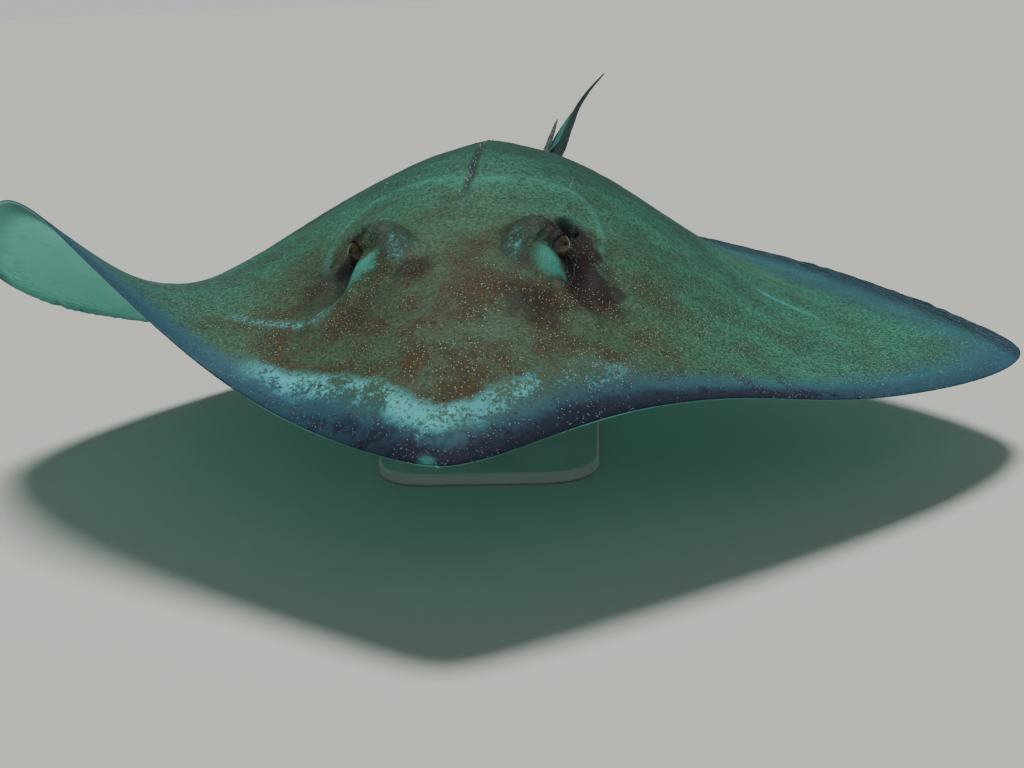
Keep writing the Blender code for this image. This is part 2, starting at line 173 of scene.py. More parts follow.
def ripples(x, y, size, seed, count=14):
    """Gentle unevenness about as large as size, the same at each run."""
    rng = np.random.default_rng(seed)
    total = np.zeros(np.broadcast(x, y).shape)
    for _ in range(count):
        turn, phase = rng.uniform(0, 2 * np.pi, 2)
        pitch = 2 * np.pi / (size * rng.uniform(0.7, 1.6))
        total += np.cos(pitch * (x * np.cos(turn) + y * np.sin(turn)) + phase)
    return total / math.sqrt(count)


print("a mound half way out stands at", round(float(hill(0.5, 1.0)), 2), "of its height")

# %% [markdown]
# ## The outline and the middle surface
# The disc's plan is a rounded diamond: a blunt snout, gently curved wing tips and two rear
# corners beside the tail. A wing beat bends it, so the middle surface lifts and twists
# towards each tip, and more on the animal's right, where the wing is raised.

# %% Outline and bend
def front_edge(a):
    """How far back the front edge lies at a share of the half width, 0 to 1."""
    blunt = np.hypot(a, SNOUT_ROUNDING) - SNOUT_ROUNDING
    full = math.hypot(1, SNOUT_ROUNDING) - SNOUT_ROUNDING
    tip = 1 - np.sqrt(np.clip(1 - a**FRONT_TIP_POWER, 0, 1))
    return FRONT_SLOPE * blunt + (TIP_BACK - FRONT_SLOPE * full) * tip


def rear_edge(a):
    """How far back the rear edge lies at a share of the half width."""
    def corner(b):
        return REAR_BACK - REAR_SLOPE * (np.hypot(b - REAR_CORNER, REAR_ROUNDING) - REAR_ROUNDING)

    tip = 1 - np.sqrt(np.clip(1 - a**REAR_TIP_POWER, 0, 1))
    return corner(a) - (corner(1.0) - TIP_BACK) * tip


def bend(x, y):
    """The lift of the disc's middle surface at a plan point."""
    a = np.abs(x) / 0.5
    chord = y - TIP_BACK

    def wing(lift, twist, curl):
        return through(lift, a) + through(twist, a) * chord + 4 * curl * a**2 * chord**2

    left = wing(LIFT_LEFT, TWIST_LEFT, CURL_LEFT)
    right = wing(LIFT_RIGHT, TWIST_RIGHT, CURL_RIGHT)
    dip = SNOUT_DIP * np.exp(-((x / SNOUT_DIP_REACH[0]) ** 2) - (y / SNOUT_DIP_REACH[1]) ** 2)
    return np.where(x > 0, left, right) - dip


def place(x, y, z):
    """Plan shares and a height share to metres in the model's frame."""
    lost = np.where(x < 0, REACH_LOST_RIGHT * (x / 0.5) ** 2, 0.0)
    across = x * (1 - lost) * DISC_WIDTH
    return np.stack(np.broadcast_arrays(
        across, (y - MIDDLE_BACK) * DISC_WIDTH, z * DISC_WIDTH + GLIDE_HEIGHT), -1)


def inward(x, y):
    """How far a plan point lies in from the front edge and from the rear edge, square to them."""
    step = 1e-4
    a = np.clip(np.abs(x) / 0.5, step, 0.9998)
    gaps = []
    for edge, sign in ((front_edge, 1), (rear_edge, -1)):
        slope = (edge(np.minimum(a + step, 1)) - edge(a - step)) / step
        gaps.append(np.clip(sign * (y - edge(a)), 0, 1) / np.hypot(1, slope))
    return gaps


corner_back = float(rear_edge(np.array(REAR_CORNER)))
print("snout at 0, tips at", TIP_BACK, "and rear corners at", round(corner_back, 3), "of the width")

# %% [markdown]
# ## The head
# The head of a ray is part of the disc. Each eye sits on the outer wall of a fleshy tower, with
# a spiracle, the breathing hole, close behind it. The tower is steep on its outer side, slopes
# gently to the midline, and has a smooth face in front. Round the gills behind the spiracles
# runs a low ring. All of these are heights added to the back.

# %% Heights on the head
WALL_OUT, WALL_WIDTH = 0.0810, 0.0028
TOWER_HEIGHT = 0.0255
PIT_REACH, PIT_DEPTH = (0.0092, 0.021), 0.014
RING_AT, RING_REACH, RING_INWARD, RING_HEIGHT = (0.085, 0.268), (0.027, 0.084), 0.096, 0.0018
HOLLOWS = (  # place, reach and depth: beside the eye, out from it, and between the two eyes
    ((0.096, 0.194), (0.019, 0.044), 0.0085),
    ((0.118, 0.215), (0.026, 0.050), 0.0040),
    ((0.0, 0.205), (0.034, 0.070), 0.0030),
)
CHEEK_FOLD, CHEEK_FOLD_HEIGHT = ((0.083, 0.170), (0.108, 0.146), 0.006), 0.0028
SNOUT_NOTCH, SNOUT_NOTCH_DEPTH = ((0.0, 0.001), (0.007, 0.018), 0.0017), 0.0020


def tower(x, y):
    """The fleshy tower that carries each eye."""
    u = np.abs(x)
    inner = np.clip(BROW_OUT - u, 0, 1) / BROW_REACH[0]
    r = np.hypot(inner, (y - BROW_BACK) / BROW_REACH[1])
    wall = 1 / (1 + np.exp(np.clip((u - WALL_OUT) / WALL_WIDTH, -30, 30)))
    return TOWER_HEIGHT * hill(r, 1.0) ** 0.75 * wall


def spiracle(x, y):
    """A deep pit with a raised inner rim behind each eye."""
    u, v = np.abs(x) - SPIRACLE_OUT, y - SPIRACLE_BACK
    across = u * math.cos(SPIRACLE_TURN) - v * math.sin(SPIRACLE_TURN)
    along = u * math.sin(SPIRACLE_TURN) + v * math.cos(SPIRACLE_TURN)
    r = np.hypot(across / PIT_REACH[0], along / PIT_REACH[1])
    rim = np.exp(-(((r - 1.25) / 0.30) ** 2)) * (0.0016 * ease(0.008, -0.008, across) + 0.0001)
    return rim - PIT_DEPTH * ease(1.05, 0.35, r)


def head_relief(x, y):
    """Everything that stands over or lies under the plain back of the head."""
    u = np.abs(x)
    relief = tower(x, y) + spiracle(x, y)
    for at, spread_out, depth in HOLLOWS:
        relief -= depth * mound(x, y, at, spread_out)
    relief += CHEEK_FOLD_HEIGHT * crease(x, y, *CHEEK_FOLD)
    reach = np.where(u > RING_AT[0], RING_REACH[0], RING_INWARD)
    ring = np.hypot((u - RING_AT[0]) / reach, (y - RING_AT[1]) / RING_REACH[1])
    behind = ease(0.25, 0.31, y)
    relief += RING_HEIGHT * np.exp(-(((ring - 1.02) / 0.11) ** 2)) * behind
    relief -= RING_HEIGHT * np.exp(-(((ring - 1.26) / 0.15) ** 2)) * behind
    relief -= SNOUT_NOTCH_DEPTH * crease(x - 0.002, y, *SNOUT_NOTCH)
    return relief


crown = float(head_relief(np.array(BROW_OUT), np.array(BROW_BACK)))
print("the eyes' towers stand", round(1000 * crown * DISC_WIDTH), "mm over the back")

# %% [markdown]
# ## Back, belly and margins
# Over the middle surface stand the body's ridge and the fullness of the fins, and both thin to
# a soft rounded rim. The rear margins are thin enough to wrinkle, so ripples run in from
# there. Underneath lie the nostrils, the mouth and five gill slits on each side.

# %% Heights of the back
WRINKLE_HEIGHT, WRINKLE_IN = 0.0011, 0.022
WRINKLE_RUN, WRINKLE_PITCHES = (0.9, 0.55), (0.0105, 0.019)
RIM_ROUNDING, TIP_THINNING = 0.0042, 0.2
UNEVENNESS = ((0.00045, 0.075, 11), (0.00010, 0.016, 12))  # height, size and seed


def rim_half(x, y):
    """Half the thickness of the fin's rounded edge."""
    to_front, to_rear = inward(x, y)
    to_tip = (1 - np.abs(x) / 0.5) * TIP_THINNING
    d = np.minimum(np.minimum(to_front, to_rear), to_tip)
    return RIM / DISC_WIDTH * np.sqrt(1 - (1 - np.clip(d / RIM_ROUNDING, 0, 1)) ** 2)


def wrinkles(x, y):
    """Small folds that run in from the thin rear margin of each wing."""
    _, to_rear = inward(x, y)
    a = np.abs(x) / 0.5
    along = x * WRINKLE_RUN[0] + WRINKLE_RUN[1] * y
    narrow, broad = (2 * np.pi * along / pitch for pitch in WRINKLE_PITCHES)
    wave = np.sin(narrow + 2.6 * ripples(x, y, 0.06, 5, 8))
    wave += 0.6 * np.sin(broad + 2.6 * ripples(x, y, 0.08, 6, 8))
    strength = np.exp(-to_rear / WRINKLE_IN) * ease(0.18, 0.45, a) * ease(1.0, 0.9, a)
    return WRINKLE_HEIGHT * wave * strength * (0.6 + 0.4 * ripples(x, y, 0.16, 7, 5))


def back_height(x, y):
    """The ridge and the fullness of the fins over the middle surface."""
    a = np.abs(x) / 0.5
    to_front = np.clip(y - front_edge(a), 0, 1)
    to_rear = np.clip(rear_edge(a) - y, 0, 1)
    thin = (1 - hill(np.abs(x), ROOT_REACH)) * np.exp(-to_rear / REAR_THINNING)
    ridge = through(RIDGE_HEIGHT, y) * hill(np.abs(x), through(RIDGE_REACH, y)) * (1 - thin)
    ridge = ridge * (1 - np.exp(-to_front / FRONT_THINNING))
    fin = FIN_FULLNESS * (1 - np.exp(-to_front / FIN_FRONT))
    fin = fin * (1 - np.exp(-to_rear / FIN_REAR)) * (1 - a)
    return ridge + fin


def back_top(x, y):
    """The height share of the skin's upper side."""
    inside = np.minimum(*inward(x, y))
    uneven = sum(height * ripples(x, y, size, seed) for height, size, seed in UNEVENNESS)
    z = bend(x, y) + back_height(x, y) + head_relief(x, y) * ease(0.0, 0.012, inside + (y < 0.03))
    return z + rim_half(x, y) + wrinkles(x, y) + uneven * ease(0.0, 0.03, inside)


ridge_top = float(back_height(np.array(0.0), np.array(0.45)))
print("the ridge stands", round(1000 * ridge_top * DISC_WIDTH), "mm over the middle surface")

# %% Heights of the belly
BELLY_FROM, BELLY_TO, BELLY_FADE, ROOT_DEPTH = 0.04, 0.84, 0.2, 0.012
MOUTH_BACK, MOUTH_HALF, MOUTH_DEPTH = 0.165, 0.042, 0.0065
CURTAIN_FRONT, CURTAIN_REAR, CURTAIN_DROP = (0.127, 0.134), (0.160, 0.155), 0.0034
NOSTRIL_AT, NOSTRIL_REACH, NOSTRIL_DEPTH = (0.045, 0.140), (0.008, 0.011), 0.0080
GILL_COUNT, GILL_DEPTH, GILL_WIDTH = 5, 0.0042, 0.0017
GILL_FRONT, GILL_REAR = (0.095, 0.238), (0.062, 0.350)
VENT, VENT_DEPTH = ((0.0, 0.735), (0.0, 0.755), 0.0022), 0.0050


def gill_slit(k):
    """The two ends of one gill slit, from the first to the fifth."""
    share = k / (GILL_COUNT - 1)
    out = GILL_FRONT[0] + (GILL_REAR[0] - GILL_FRONT[0]) * share
    back = GILL_FRONT[1] + (GILL_REAR[1] - GILL_FRONT[1]) * share
    return (out - 0.009, back - 0.004 + 0.004 * share), (out + 0.014, back + 0.006 - 0.006 * share)


def belly_marks(x, y):
    """Grooves in the underside; they go up into the body."""
    u = np.abs(x)
    marks = np.zeros(np.broadcast(x, y).shape)
    for k in range(GILL_COUNT):
        start, end = gill_slit(k)
        marks += GILL_DEPTH * crease(x, y, start, end, GILL_WIDTH)
        marks -= 0.0022 * crease(x, y - 0.0045, start, end, 0.0035)
    mouth_line = MOUTH_BACK + 0.010 * (u / MOUTH_HALF) ** 2 - 0.004 * np.cos(np.pi * u / MOUTH_HALF)
    within = ease(MOUTH_HALF + 0.004, MOUTH_HALF - 0.004, u)
    marks += MOUTH_DEPTH * np.exp(-(((y - mouth_line) / 0.0022) ** 2)) * within
    marks -= 0.0030 * np.exp(-(((y - mouth_line - 0.008) / 0.006) ** 2)) * within
    curtain = ease(MOUTH_HALF + 0.002, MOUTH_HALF - 0.006, u)
    curtain = curtain * ease(*CURTAIN_FRONT, y) * ease(*CURTAIN_REAR, y)
    marks -= CURTAIN_DROP * curtain
    marks += NOSTRIL_DEPTH * mound(x, y, NOSTRIL_AT, NOSTRIL_REACH)
    marks += VENT_DEPTH * crease(x, y, *VENT)
    return marks


def belly_bottom(x, y):
    """The height share of the skin's lower side."""
    inside = np.clip((y - BELLY_FROM) / BELLY_FADE, 0, 1)
    inside = inside * np.clip((BELLY_TO - y) / BELLY_FADE, 0, 1)
    depth = BELLY_DEPTH * hill(np.abs(x), BELLY_REACH) * np.sin(inside * math.pi / 2)
    depth += ROOT_DEPTH * hill(np.abs(x), ROOT_REACH) * ease(0.66, 0.80, y)
    return bend(x, y) - depth - rim_half(x, y) + belly_marks(x, y) + wrinkles(x, y)


print("gill slits:", [tuple(round(c, 3) for c in gill_slit(k)[0]) for k in range(GILL_COUNT)])

# %% [markdown]
# ## Lids
# A ray's eye looks out sideways through an almond-shaped opening. The skin is drawn over the
# ball: round the opening it stands a little proud as a lid, and inside the opening it drops
# behind the ball's surface. Moving the skin's points towards or away from the ball's centre
# does both, and leaves a crisp edge where the lid ends.

# %% Eye places and lids
EYE_LOOK = (0.82, -0.56, 0.12)
LID_OVER, BEHIND_BALL = 1.07, 0.80
LIDS_END, LIDS_FULL = 2.2, 1.5
OPENING = (0.88, 0.68)


def eye_axes(side):
    """The eye's centre and the ways it looks, runs along the head and stands up."""
    x, y = np.array(side * EYE_OUT), np.array(EYE_BACK)
    centre = place(x, y, bend(x, y) + back_height(x, y) + EYE_RISE)
    look = Vector((side * EYE_LOOK[0], *EYE_LOOK[1:])).normalized()
    along = look.cross(Vector((0, 0, 1))).normalized() * side
    return centre, np.array(look), np.array(along), np.array(look.cross(along).normalized() * side)


def draw_lids(points, side):
    """Fits the skin's points near one eye round its ball."""
    centre, look, along, up = eye_axes(side)
    radius = EYE_RADIUS * DISC_WIDTH
    away = points - centre
    r = np.linalg.norm(away, axis=-1)
    way = away / np.maximum(r, 1e-9)[..., None]
    ahead = way @ look
    opening = np.hypot(way @ along / OPENING[0], way @ up / OPENING[1])
    opening = np.where(ahead > 0, opening, 9.0)
    near = ease(1.75, 1.02, opening) * ease(LIDS_END * radius, LIDS_FULL * radius, r)
    lid = np.maximum(r, 1.05 * radius) * (1 - near) + LID_OVER * radius * near
    inside = (opening < 1) & (r < 1.6 * radius)
    new = np.where(inside, BEHIND_BALL * radius, np.where(r < LIDS_END * radius, lid, r))
    return centre + way * new[..., None]


print("the left eye's centre:", [round(float(c), 3) for c in eye_axes(1)[0]])

# %% [markdown]
# ## The skin's mesh
# The disc is one grid of points over the plan for the back and one for the belly, welded along
# the rim. The lines lie closest over the eyes and along the edges. A short stretch of the rear
# rim stays open, and the tail is swept from that very loop of points, so no seam shows where
# the body becomes the tail. A Boolean union could join a separate tail, but it would leave a
# hard line that has to be smoothed away again.

# %% Where the grid's lines lie
COLUMNS_HALF, ROWS = 250, 430


def spread(places, closeness, count):
    """Places shared out so that they lie closer where closeness is high."""
    travelled = np.concatenate([[0], np.cumsum((closeness[1:] + closeness[:-1]) / 2)])
    return np.interp(np.linspace(0, travelled[-1], count), travelled, places)


def span_lines():
    """Shares of the half width for the lines that run back, close over the eyes and the tips."""
    s = np.linspace(0, 0.9998, 4001)
    closeness = 1 + 1.6 * ease(0.34, 0.24, s) + 9 * np.exp(-(((s - 0.158) / 0.024) ** 2))
    half = spread(s, closeness + 0.35 / np.sqrt(1 - s + 1e-4), COLUMNS_HALF)
    return np.concatenate([-half[:0:-1], half])


def chord_lines():
    """Shares of the chord for the lines that run across, close at the eyes and both edges."""
    s = np.linspace(0, 1, 4001)
    closeness = 1 + 1.5 * ease(0.0, 0.05, s) * ease(0.46, 0.36, s)
    closeness += 4 * np.exp(-(((s - 0.222) / 0.034) ** 2)) + 6 * np.exp(-s / 0.004)
    closeness += 3 * np.exp(-s / 0.03) + 3 * np.exp(-(1 - s) / 0.006) + np.exp(-(1 - s) / 0.05)
    return spread(s, closeness, ROWS)


spans = span_lines()
shares = chord_lines()
front, rear = front_edge(np.abs(spans)), rear_edge(np.abs(spans))
grid_x = np.repeat(spans[:, None] / 2, len(shares), 1)
grid_y = front[:, None] + (rear - front)[:, None] * shares
top = place(grid_x, grid_y, back_top(grid_x, grid_y))
low = place(grid_x, grid_y, belly_bottom(grid_x, grid_y))
for side in (1, -1):
    top = draw_lids(top, side)
print("grid of the disc:", top.shape[0], "by", top.shape[1], "points on each side")

# %% The tail's centreline and size
def tail_point(t):
    """The tail's centreline at a share of its length, in metres."""
    line = np.array(TAIL_LINE)
    travelled = np.concatenate([[0], np.cumsum(np.linalg.norm(np.diff(line, axis=0), axis=1))])
    places = travelled / travelled[-1]
    x, y, z = (through(np.stack([places, line[:, k]], 1), t) for k in range(3))
    centre = Vector((float(x), float(y - MIDDLE_BACK), float(z))) * DISC_WIDTH
    return centre + Vector((0, 0, GLIDE_HEIGHT))


def tail_frame(t):
    """The centre, the way back along the tail, the way left and the way up at a share."""
    back = (tail_point(min(t + 0.004, 1)) - tail_point(max(t - 0.004, 0))).normalized()
    left = back.cross(Vector((0, 0, 1))).normalized()
    return tail_point(t), back, left, left.cross(back)


def tail_size(t):
    """Half the tail's width and half its depth at a share, in metres."""
    return float(through(TAIL_WIDTH, t)) * DISC_WIDTH, float(through(TAIL_DEPTH, t)) * DISC_WIDTH


print("half the tail's width at its middle:", round(1000 * tail_size(0.5)[0], 1), "mm")

# %% Rings of the tail
TAIL_MEETS = 0.085
SHEATH_AT, SHEATH_REACH, SHEATH_RISE, KEEL_RISE = 0.160, 0.016, 0.0022, 0.0016
BLEND_RINGS, TAIL_RINGS = 40, 300


def tail_ring(t, angles):
    """One ring of the tail, with the sting's sheath and a low keel behind it on top."""
    centre, _, left, up = tail_frame(t)
    wide, deep = tail_size(t)
    sheath = SHEATH_RISE * math.exp(-(((t - SHEATH_AT) / SHEATH_REACH) ** 2))
    keel = KEEL_RISE * float(ease(0.26, 0.34, t) * ease(0.80, 0.55, t))
    crown = np.clip(np.sin(angles), 0, 1)
    rise = deep * np.sin(angles) + sheath * crown**3 + keel * crown**24
    ring = np.cos(angles)[:, None] * wide * np.array(left) + rise[:, None] * np.array(up)
    return np.array(centre) + ring


def tail_rings(loop, leaving):
    """Rings from the open loop at the back of the disc to the tip of the tail.

    The first ones follow a smooth curve that leaves the disc the way its skin runs, and meets
    the tail the way the tail runs.
    """
    half = (loop[:, 0].max() - loop[:, 0].min()) / 2
    middle = (loop[:, 0].max() + loop[:, 0].min()) / 2
    angles = np.arccos(np.clip((loop[:, 0] - middle) / half, -1, 1))
    angles[len(loop) // 2 + 1:] *= -1
    met = tail_ring(TAIL_MEETS, angles)
    onward = np.array(tail_frame(TAIL_MEETS)[1])
    reach = np.linalg.norm(met - loop, axis=1)[:, None]
    rings = []
    for s in np.linspace(0, 1, BLEND_RINGS)[1:]:
        a, b = 2 * s**3 - 3 * s**2 + 1, s**3 - 2 * s**2 + s
        c, d = -2 * s**3 + 3 * s**2, s**3 - s**2
        rings.append(a * loop + b * leaving * reach + c * met + d * onward * reach)
    travel = TAIL_MEETS + (1 - TAIL_MEETS) * np.linspace(0, 1, TAIL_RINGS)[1:] ** 1.1
    rings += [tail_ring(t, angles) for t in travel]
    return rings, tail_point(1.0) + tail_frame(1.0)[1] * 0.002


print("the tail ends at", [round(c, 3) for c in tail_point(1.0)])

# %% The closed skin of disc and tail
ROWS_IN = 4  # the skin leaves the disc along the line from this many rows in


def disc_and_tail():
    """One closed mesh: both sides of the disc welded along the rim, and the tail with its tip."""
    columns, rows = top.shape[:2]
    opened = np.nonzero(np.abs(spans) / 2 <= ROOT_REACH)[0]
    first, last = opened[0], opened[-1]
    upper = np.arange(columns * rows).reshape(columns, rows)
    own = np.zeros((columns, rows), bool)
    own[1:-1, 1:-1] = True
    own[first + 1:last, -1] = True
    lower = upper.copy()
    lower[own] = columns * rows + np.arange(own.sum())
    verts = [top.reshape(-1, 3), low[own]]
    this, then = slice(None, -1), slice(1, None)
    quads = [
        np.stack([upper[then, this], upper[then, then], upper[this, then], upper[this, this]], -1),
        np.stack([lower[this, this], lower[this, then], lower[then, then], lower[then, this]], -1),
    ]
    order = np.concatenate([upper[last:first:-1, -1], lower[first:last, -1]])
    points = np.concatenate(verts)
    loop = points[order]
    before = np.concatenate([top[last:first:-1, -ROWS_IN], low[first:last, -ROWS_IN]])
    leaving = loop - before
    leaving /= np.linalg.norm(leaving, axis=1)[:, None]
    rings, tip = tail_rings(loop, leaving)
    count, sides = len(points), len(order)
    bands = [order] + [count + k * sides + np.arange(sides) for k in range(len(rings))]
    for one, two in zip(bands, bands[1:]):
        quads.append(np.stack([np.roll(one, -1), np.roll(two, -1), two, one], -1))
    verts = np.concatenate([points] + rings + [np.array(tip)[None]])
    faces = np.concatenate([q.reshape(-1, 4) for q in quads])
    cap = [(int(a), int(b), len(verts) - 1) for a, b in zip(np.roll(bands[-1], -1), bands[-1])]
    return verts, faces.tolist() + cap


def mesh_object(name, verts, faces):
    """A smooth-shaded object with its faces all turned outwards."""
    mesh = bpy.data.meshes.new(name)
    mesh.from_pydata(np.asarray(verts, float).tolist(), [], faces)
    bm = bmesh.new()
    bm.from_mesh(mesh)
    bmesh.ops.recalc_face_normals(bm, faces=bm.faces)
    if bm.calc_volume(signed=True) < 0:
        bmesh.ops.reverse_faces(bm, faces=bm.faces)
    bm.to_mesh(mesh)
    bm.free()
    mesh.shade_smooth()
    obj = bpy.data.objects.new(name, mesh)
    bpy.context.scene.collection.objects.link(obj)
    return obj


skin = mesh_object("skin", *disc_and_tail())
print("disc and tail:", len(skin.data.polygons), "faces")

# %% [markdown]
# ## Pelvic fins and the fold under the tail
# A female ray's two pelvic fins show as small lobes behind the disc, and a soft fold of skin
# hangs along the underside of the tail. Both grow out of the body, so each is made as a closed
# flap whose root lies inside the flesh, and a Boolean union then makes one skin of them all.

# %% A closed flap
def closed_sheet(name, upper_side, lower_side):
    """A closed flap between two grids of points that meet along their edges."""
    rows, columns = upper_side.shape[:2]
    ids = np.arange(rows * columns).reshape(rows, columns)
    own = np.zeros_like(ids, bool)
    own[1:-1, 1:-1] = True
    under = ids.copy()
    under[own] = rows * columns + np.arange(own.sum())
    points = upper_side.copy()
    edge = ~own
    points[edge] = (upper_side[edge] + lower_side[edge]) / 2
    outer, inner = (
        np.stack([grid[:-1, :-1], grid[1:, :-1], grid[1:, 1:], grid[:-1, 1:]], -1).reshape(-1, 4)
        for grid in (ids, under)
    )
    verts = np.concatenate([points.reshape(-1, 3), lower_side[own]])
    return mesh_object(name, verts, outer.tolist() + inner[:, ::-1].tolist())


print("a flap closes along its edge, where its two sides share their points")

# %% Pelvic fins
PELVIC_INNER, PELVIC_FRONT, PELVIC_LENGTH, PELVIC_REACH = 0.052, 0.745, 0.175, 0.078
PELVIC_THICKNESS, PELVIC_UNDER, PELVIC_DROOP = 0.0045, 0.0012, 0.10


def pelvic_fin(side):
    """One lobe, from its root inside the body to its free rounded edge."""
    t = np.linspace(0.001, 0.999, 70)[:, None]
    s = np.linspace(-0.12, 1, 50)[None, :]
    reach = PELVIC_REACH * np.sin(np.pi * t**1.15) ** 0.55
    x = PELVIC_INNER + reach * s - 0.010 * ease(0.45, 0.0, t) * ease(0.3, -0.1, s)
    y = PELVIC_FRONT + PELVIC_LENGTH * t + 0.012 * s
    seat = np.minimum(y, REAR_BACK - 0.04)
    rooted = 0.012 * ease(0.22, -0.05, s) * ease(0.62, 0.30, t)
    rooted = rooted + 0.0035 * ease(0.7, 0.1, s) * ease(0.5, 0.2, t)
    under = belly_bottom(side * x, seat) - PELVIC_UNDER + rooted
    drop = PELVIC_DROOP * np.clip(y - REAR_BACK + 0.07, 0, 1)
    waves = 0.0009 * np.sin(38 * t + 9 * s) * ease(0.3, 1.0, t)
    edge = np.sqrt(np.clip(1 - np.clip(s, 0, 1) ** 6, 0, 1)) * np.sqrt(np.sin(np.pi * t))
    thick = (PELVIC_THICKNESS * (1 - 0.75 * np.clip(s, 0, 1) ** 2) + PELVIC_UNDER) * edge
    middle = under - drop + waves - PELVIC_THICKNESS / 2
    upper_side = place(side * x, y, middle + thick / 2)
    return closed_sheet("flap", upper_side, place(side * x, y, middle - thick / 2))


flaps = [pelvic_fin(1), pelvic_fin(-1)]
print("each pelvic fin has", len(flaps[0].data.polygons), "faces")

# %% The fold under the tail
FOLD_SPAN, FOLD_DEPTH, FOLD_ANGLE, FOLD_HALF = (0.17, 0.58), 0.020, math.radians(205), 0.0008


def tail_flap():
    """The fold of skin below the tail, swung out to the animal's right."""
    t = np.linspace(*FOLD_SPAN, 240)
    s = np.linspace(0, 1, 14)
    sides = np.zeros((2, len(t), len(s), 3))
    for i, at in enumerate(t):
        centre, _, left, up = (np.array(v) for v in tail_frame(at))
        out = left * math.cos(FOLD_ANGLE) + up * math.sin(FOLD_ANGLE)
        across = up * math.cos(FOLD_ANGLE) - left * math.sin(FOLD_ANGLE)
        share = (at - FOLD_SPAN[0]) / (FOLD_SPAN[1] - FOLD_SPAN[0])
        rise = math.sin(math.pi * min(share * 1.6, 0.5 + 0.5 * share)) ** 0.7
        root = 0.6 * min(tail_size(at))
        depth = FOLD_DEPTH * DISC_WIDTH * rise + 0.002 + max(tail_size(at)) - root
        wave = 0.0014 * np.sin(150 * share + 5 * s) * s * rise
        half = FOLD_HALF * (1.8 - s) * np.sqrt(1 - s**8)
        line = centre + out * (root + depth * s)[:, None] + across * wave[:, None]
        sides[0, i] = line + across * half[:, None]
        sides[1, i] = line - across * half[:, None]
    return closed_sheet("flap", sides[0], sides[1])


flaps.append(tail_flap())
print("the fold is", round(1000 * FOLD_DEPTH * DISC_WIDTH), "mm deep")

# %% One skin of them all
for flap in flaps:
    join = skin.modifiers.new("join", "BOOLEAN")
    join.operation = "UNION"
    join.solver = "MANIFOLD"
    join.object = flap
    evaluated = skin.evaluated_get(bpy.context.evaluated_depsgraph_get())
    joined = bpy.data.meshes.new_from_object(evaluated)
    print("a flap joined:", len(skin.data.polygons), "faces to", len(joined.polygons))
    skin.modifiers.clear()
    skin.data = joined
    bpy.data.objects.remove(flap)
skin.data.shade_smooth()

# %% [markdown]
# ## What the finish needs to know
# The pattern of the skin follows the body: a band along the front margin, darker thin margins
# behind, a pale belly. So each point of the mesh carries its place on the plan, how far it is
# in from each edge, and whether it is on the back. The finish reads these as attributes.

# %% Attributes of the skin
def plan_place(points):
    """The plan shares of points in metres, undoing the reach that the raised wing loses."""
    wanted = points[:, 0] / DISC_WIDTH
    x = wanted.copy()
    for _ in range(8):
        x = np.where(wanted < 0, wanted / (1 - REACH_LOST_RIGHT * (x / 0.5) ** 2), wanted)
    return x, points[:, 1] / DISC_WIDTH + MIDDLE_BACK


def add_attribute(obj, name, values):
    """One number or one vector for each point of a mesh."""
    kind = "FLOAT_VECTOR" if values.ndim == 2 else "FLOAT"
    layer = obj.data.attributes.new(name, kind, "POINT")
    field = "vector" if values.ndim == 2 else "value"
    layer.data.foreach_set(field, values.astype(np.float32).ravel())


def beside_tail(points):
    """How far points stand out from the round tail, in metres."""
    shares = np.linspace(0, 1, 400)
    line = np.array([tail_point(t) for t in shares])
    at = np.interp(points[:, 1], line[:, 1], shares)
    beside = np.interp(at, shares, line[:, 0]) - points[:, 0]
    above = np.interp(at, shares, line[:, 2]) - points[:, 2]
    return np.hypot(beside, above) - through(TAIL_DEPTH, at) * DISC_WIDTH


def mark_skin():
    """Gives the skin's points the attributes that its finish reads."""
    mesh = skin.data
    points = np.zeros(len(mesh.vertices) * 3)
    mesh.vertices.foreach_get("co", points)
    normals = np.zeros(len(points))
    mesh.vertices.foreach_get("normal", normals)
    points, normals = points.reshape(-1, 3), normals.reshape(-1, 3)
    x, y = plan_place(points)
    height = (points[:, 2] - GLIDE_HEIGHT) / DISC_WIDTH - bend(x, y)
    a = np.clip(np.abs(x) / 0.5, 0, 1)
    off_disc = (y > rear_edge(a) + 0.001) | (a > 0.9999)
    on_disc_back = ease(-0.0010, -0.0002, height)
    upward = ease(-0.25, 0.25, normals[:, 2])
    to_front, to_rear = inward(np.clip(x, -0.4999, 0.4999), y)
    along_tail = np.clip((y - TAIL_START) / TAIL_SPAN, 0, 1)
    add_attribute(skin, "plan", np.stack([x, y, along_tail], 1))
    on_fin = off_disc | ((to_rear < 0.04) & (height < -0.0025) & (np.abs(x) < 0.16))
    add_attribute(skin, "upper", np.where(on_fin, upward, on_disc_back))
    add_attribute(skin, "from_front", np.where(off_disc, 0.3, to_front))
    add_attribute(skin, "from_rear", np.where(off_disc, 0.0, to_rear))
    add_attribute(skin, "behind", off_disc.astype(float))
    add_attribute(skin, "fold", np.where(y > REAR_BACK + 0.02, beside_tail(points), 0.0))


mark_skin()
names = [layer.name for layer in skin.data.attributes]
print("attributes:", [name for name in names if not name.startswith(".")])

# %% [markdown]
# ## A small language for finishes
# A finish is a graph of nodes. Written as plain Python sums it reads like arithmetic: a value
# from a node can be added, multiplied or compared, and each such step adds its own Math node.
# Colours never go through Math nodes, which would turn them grey, so they are blended by Mix.

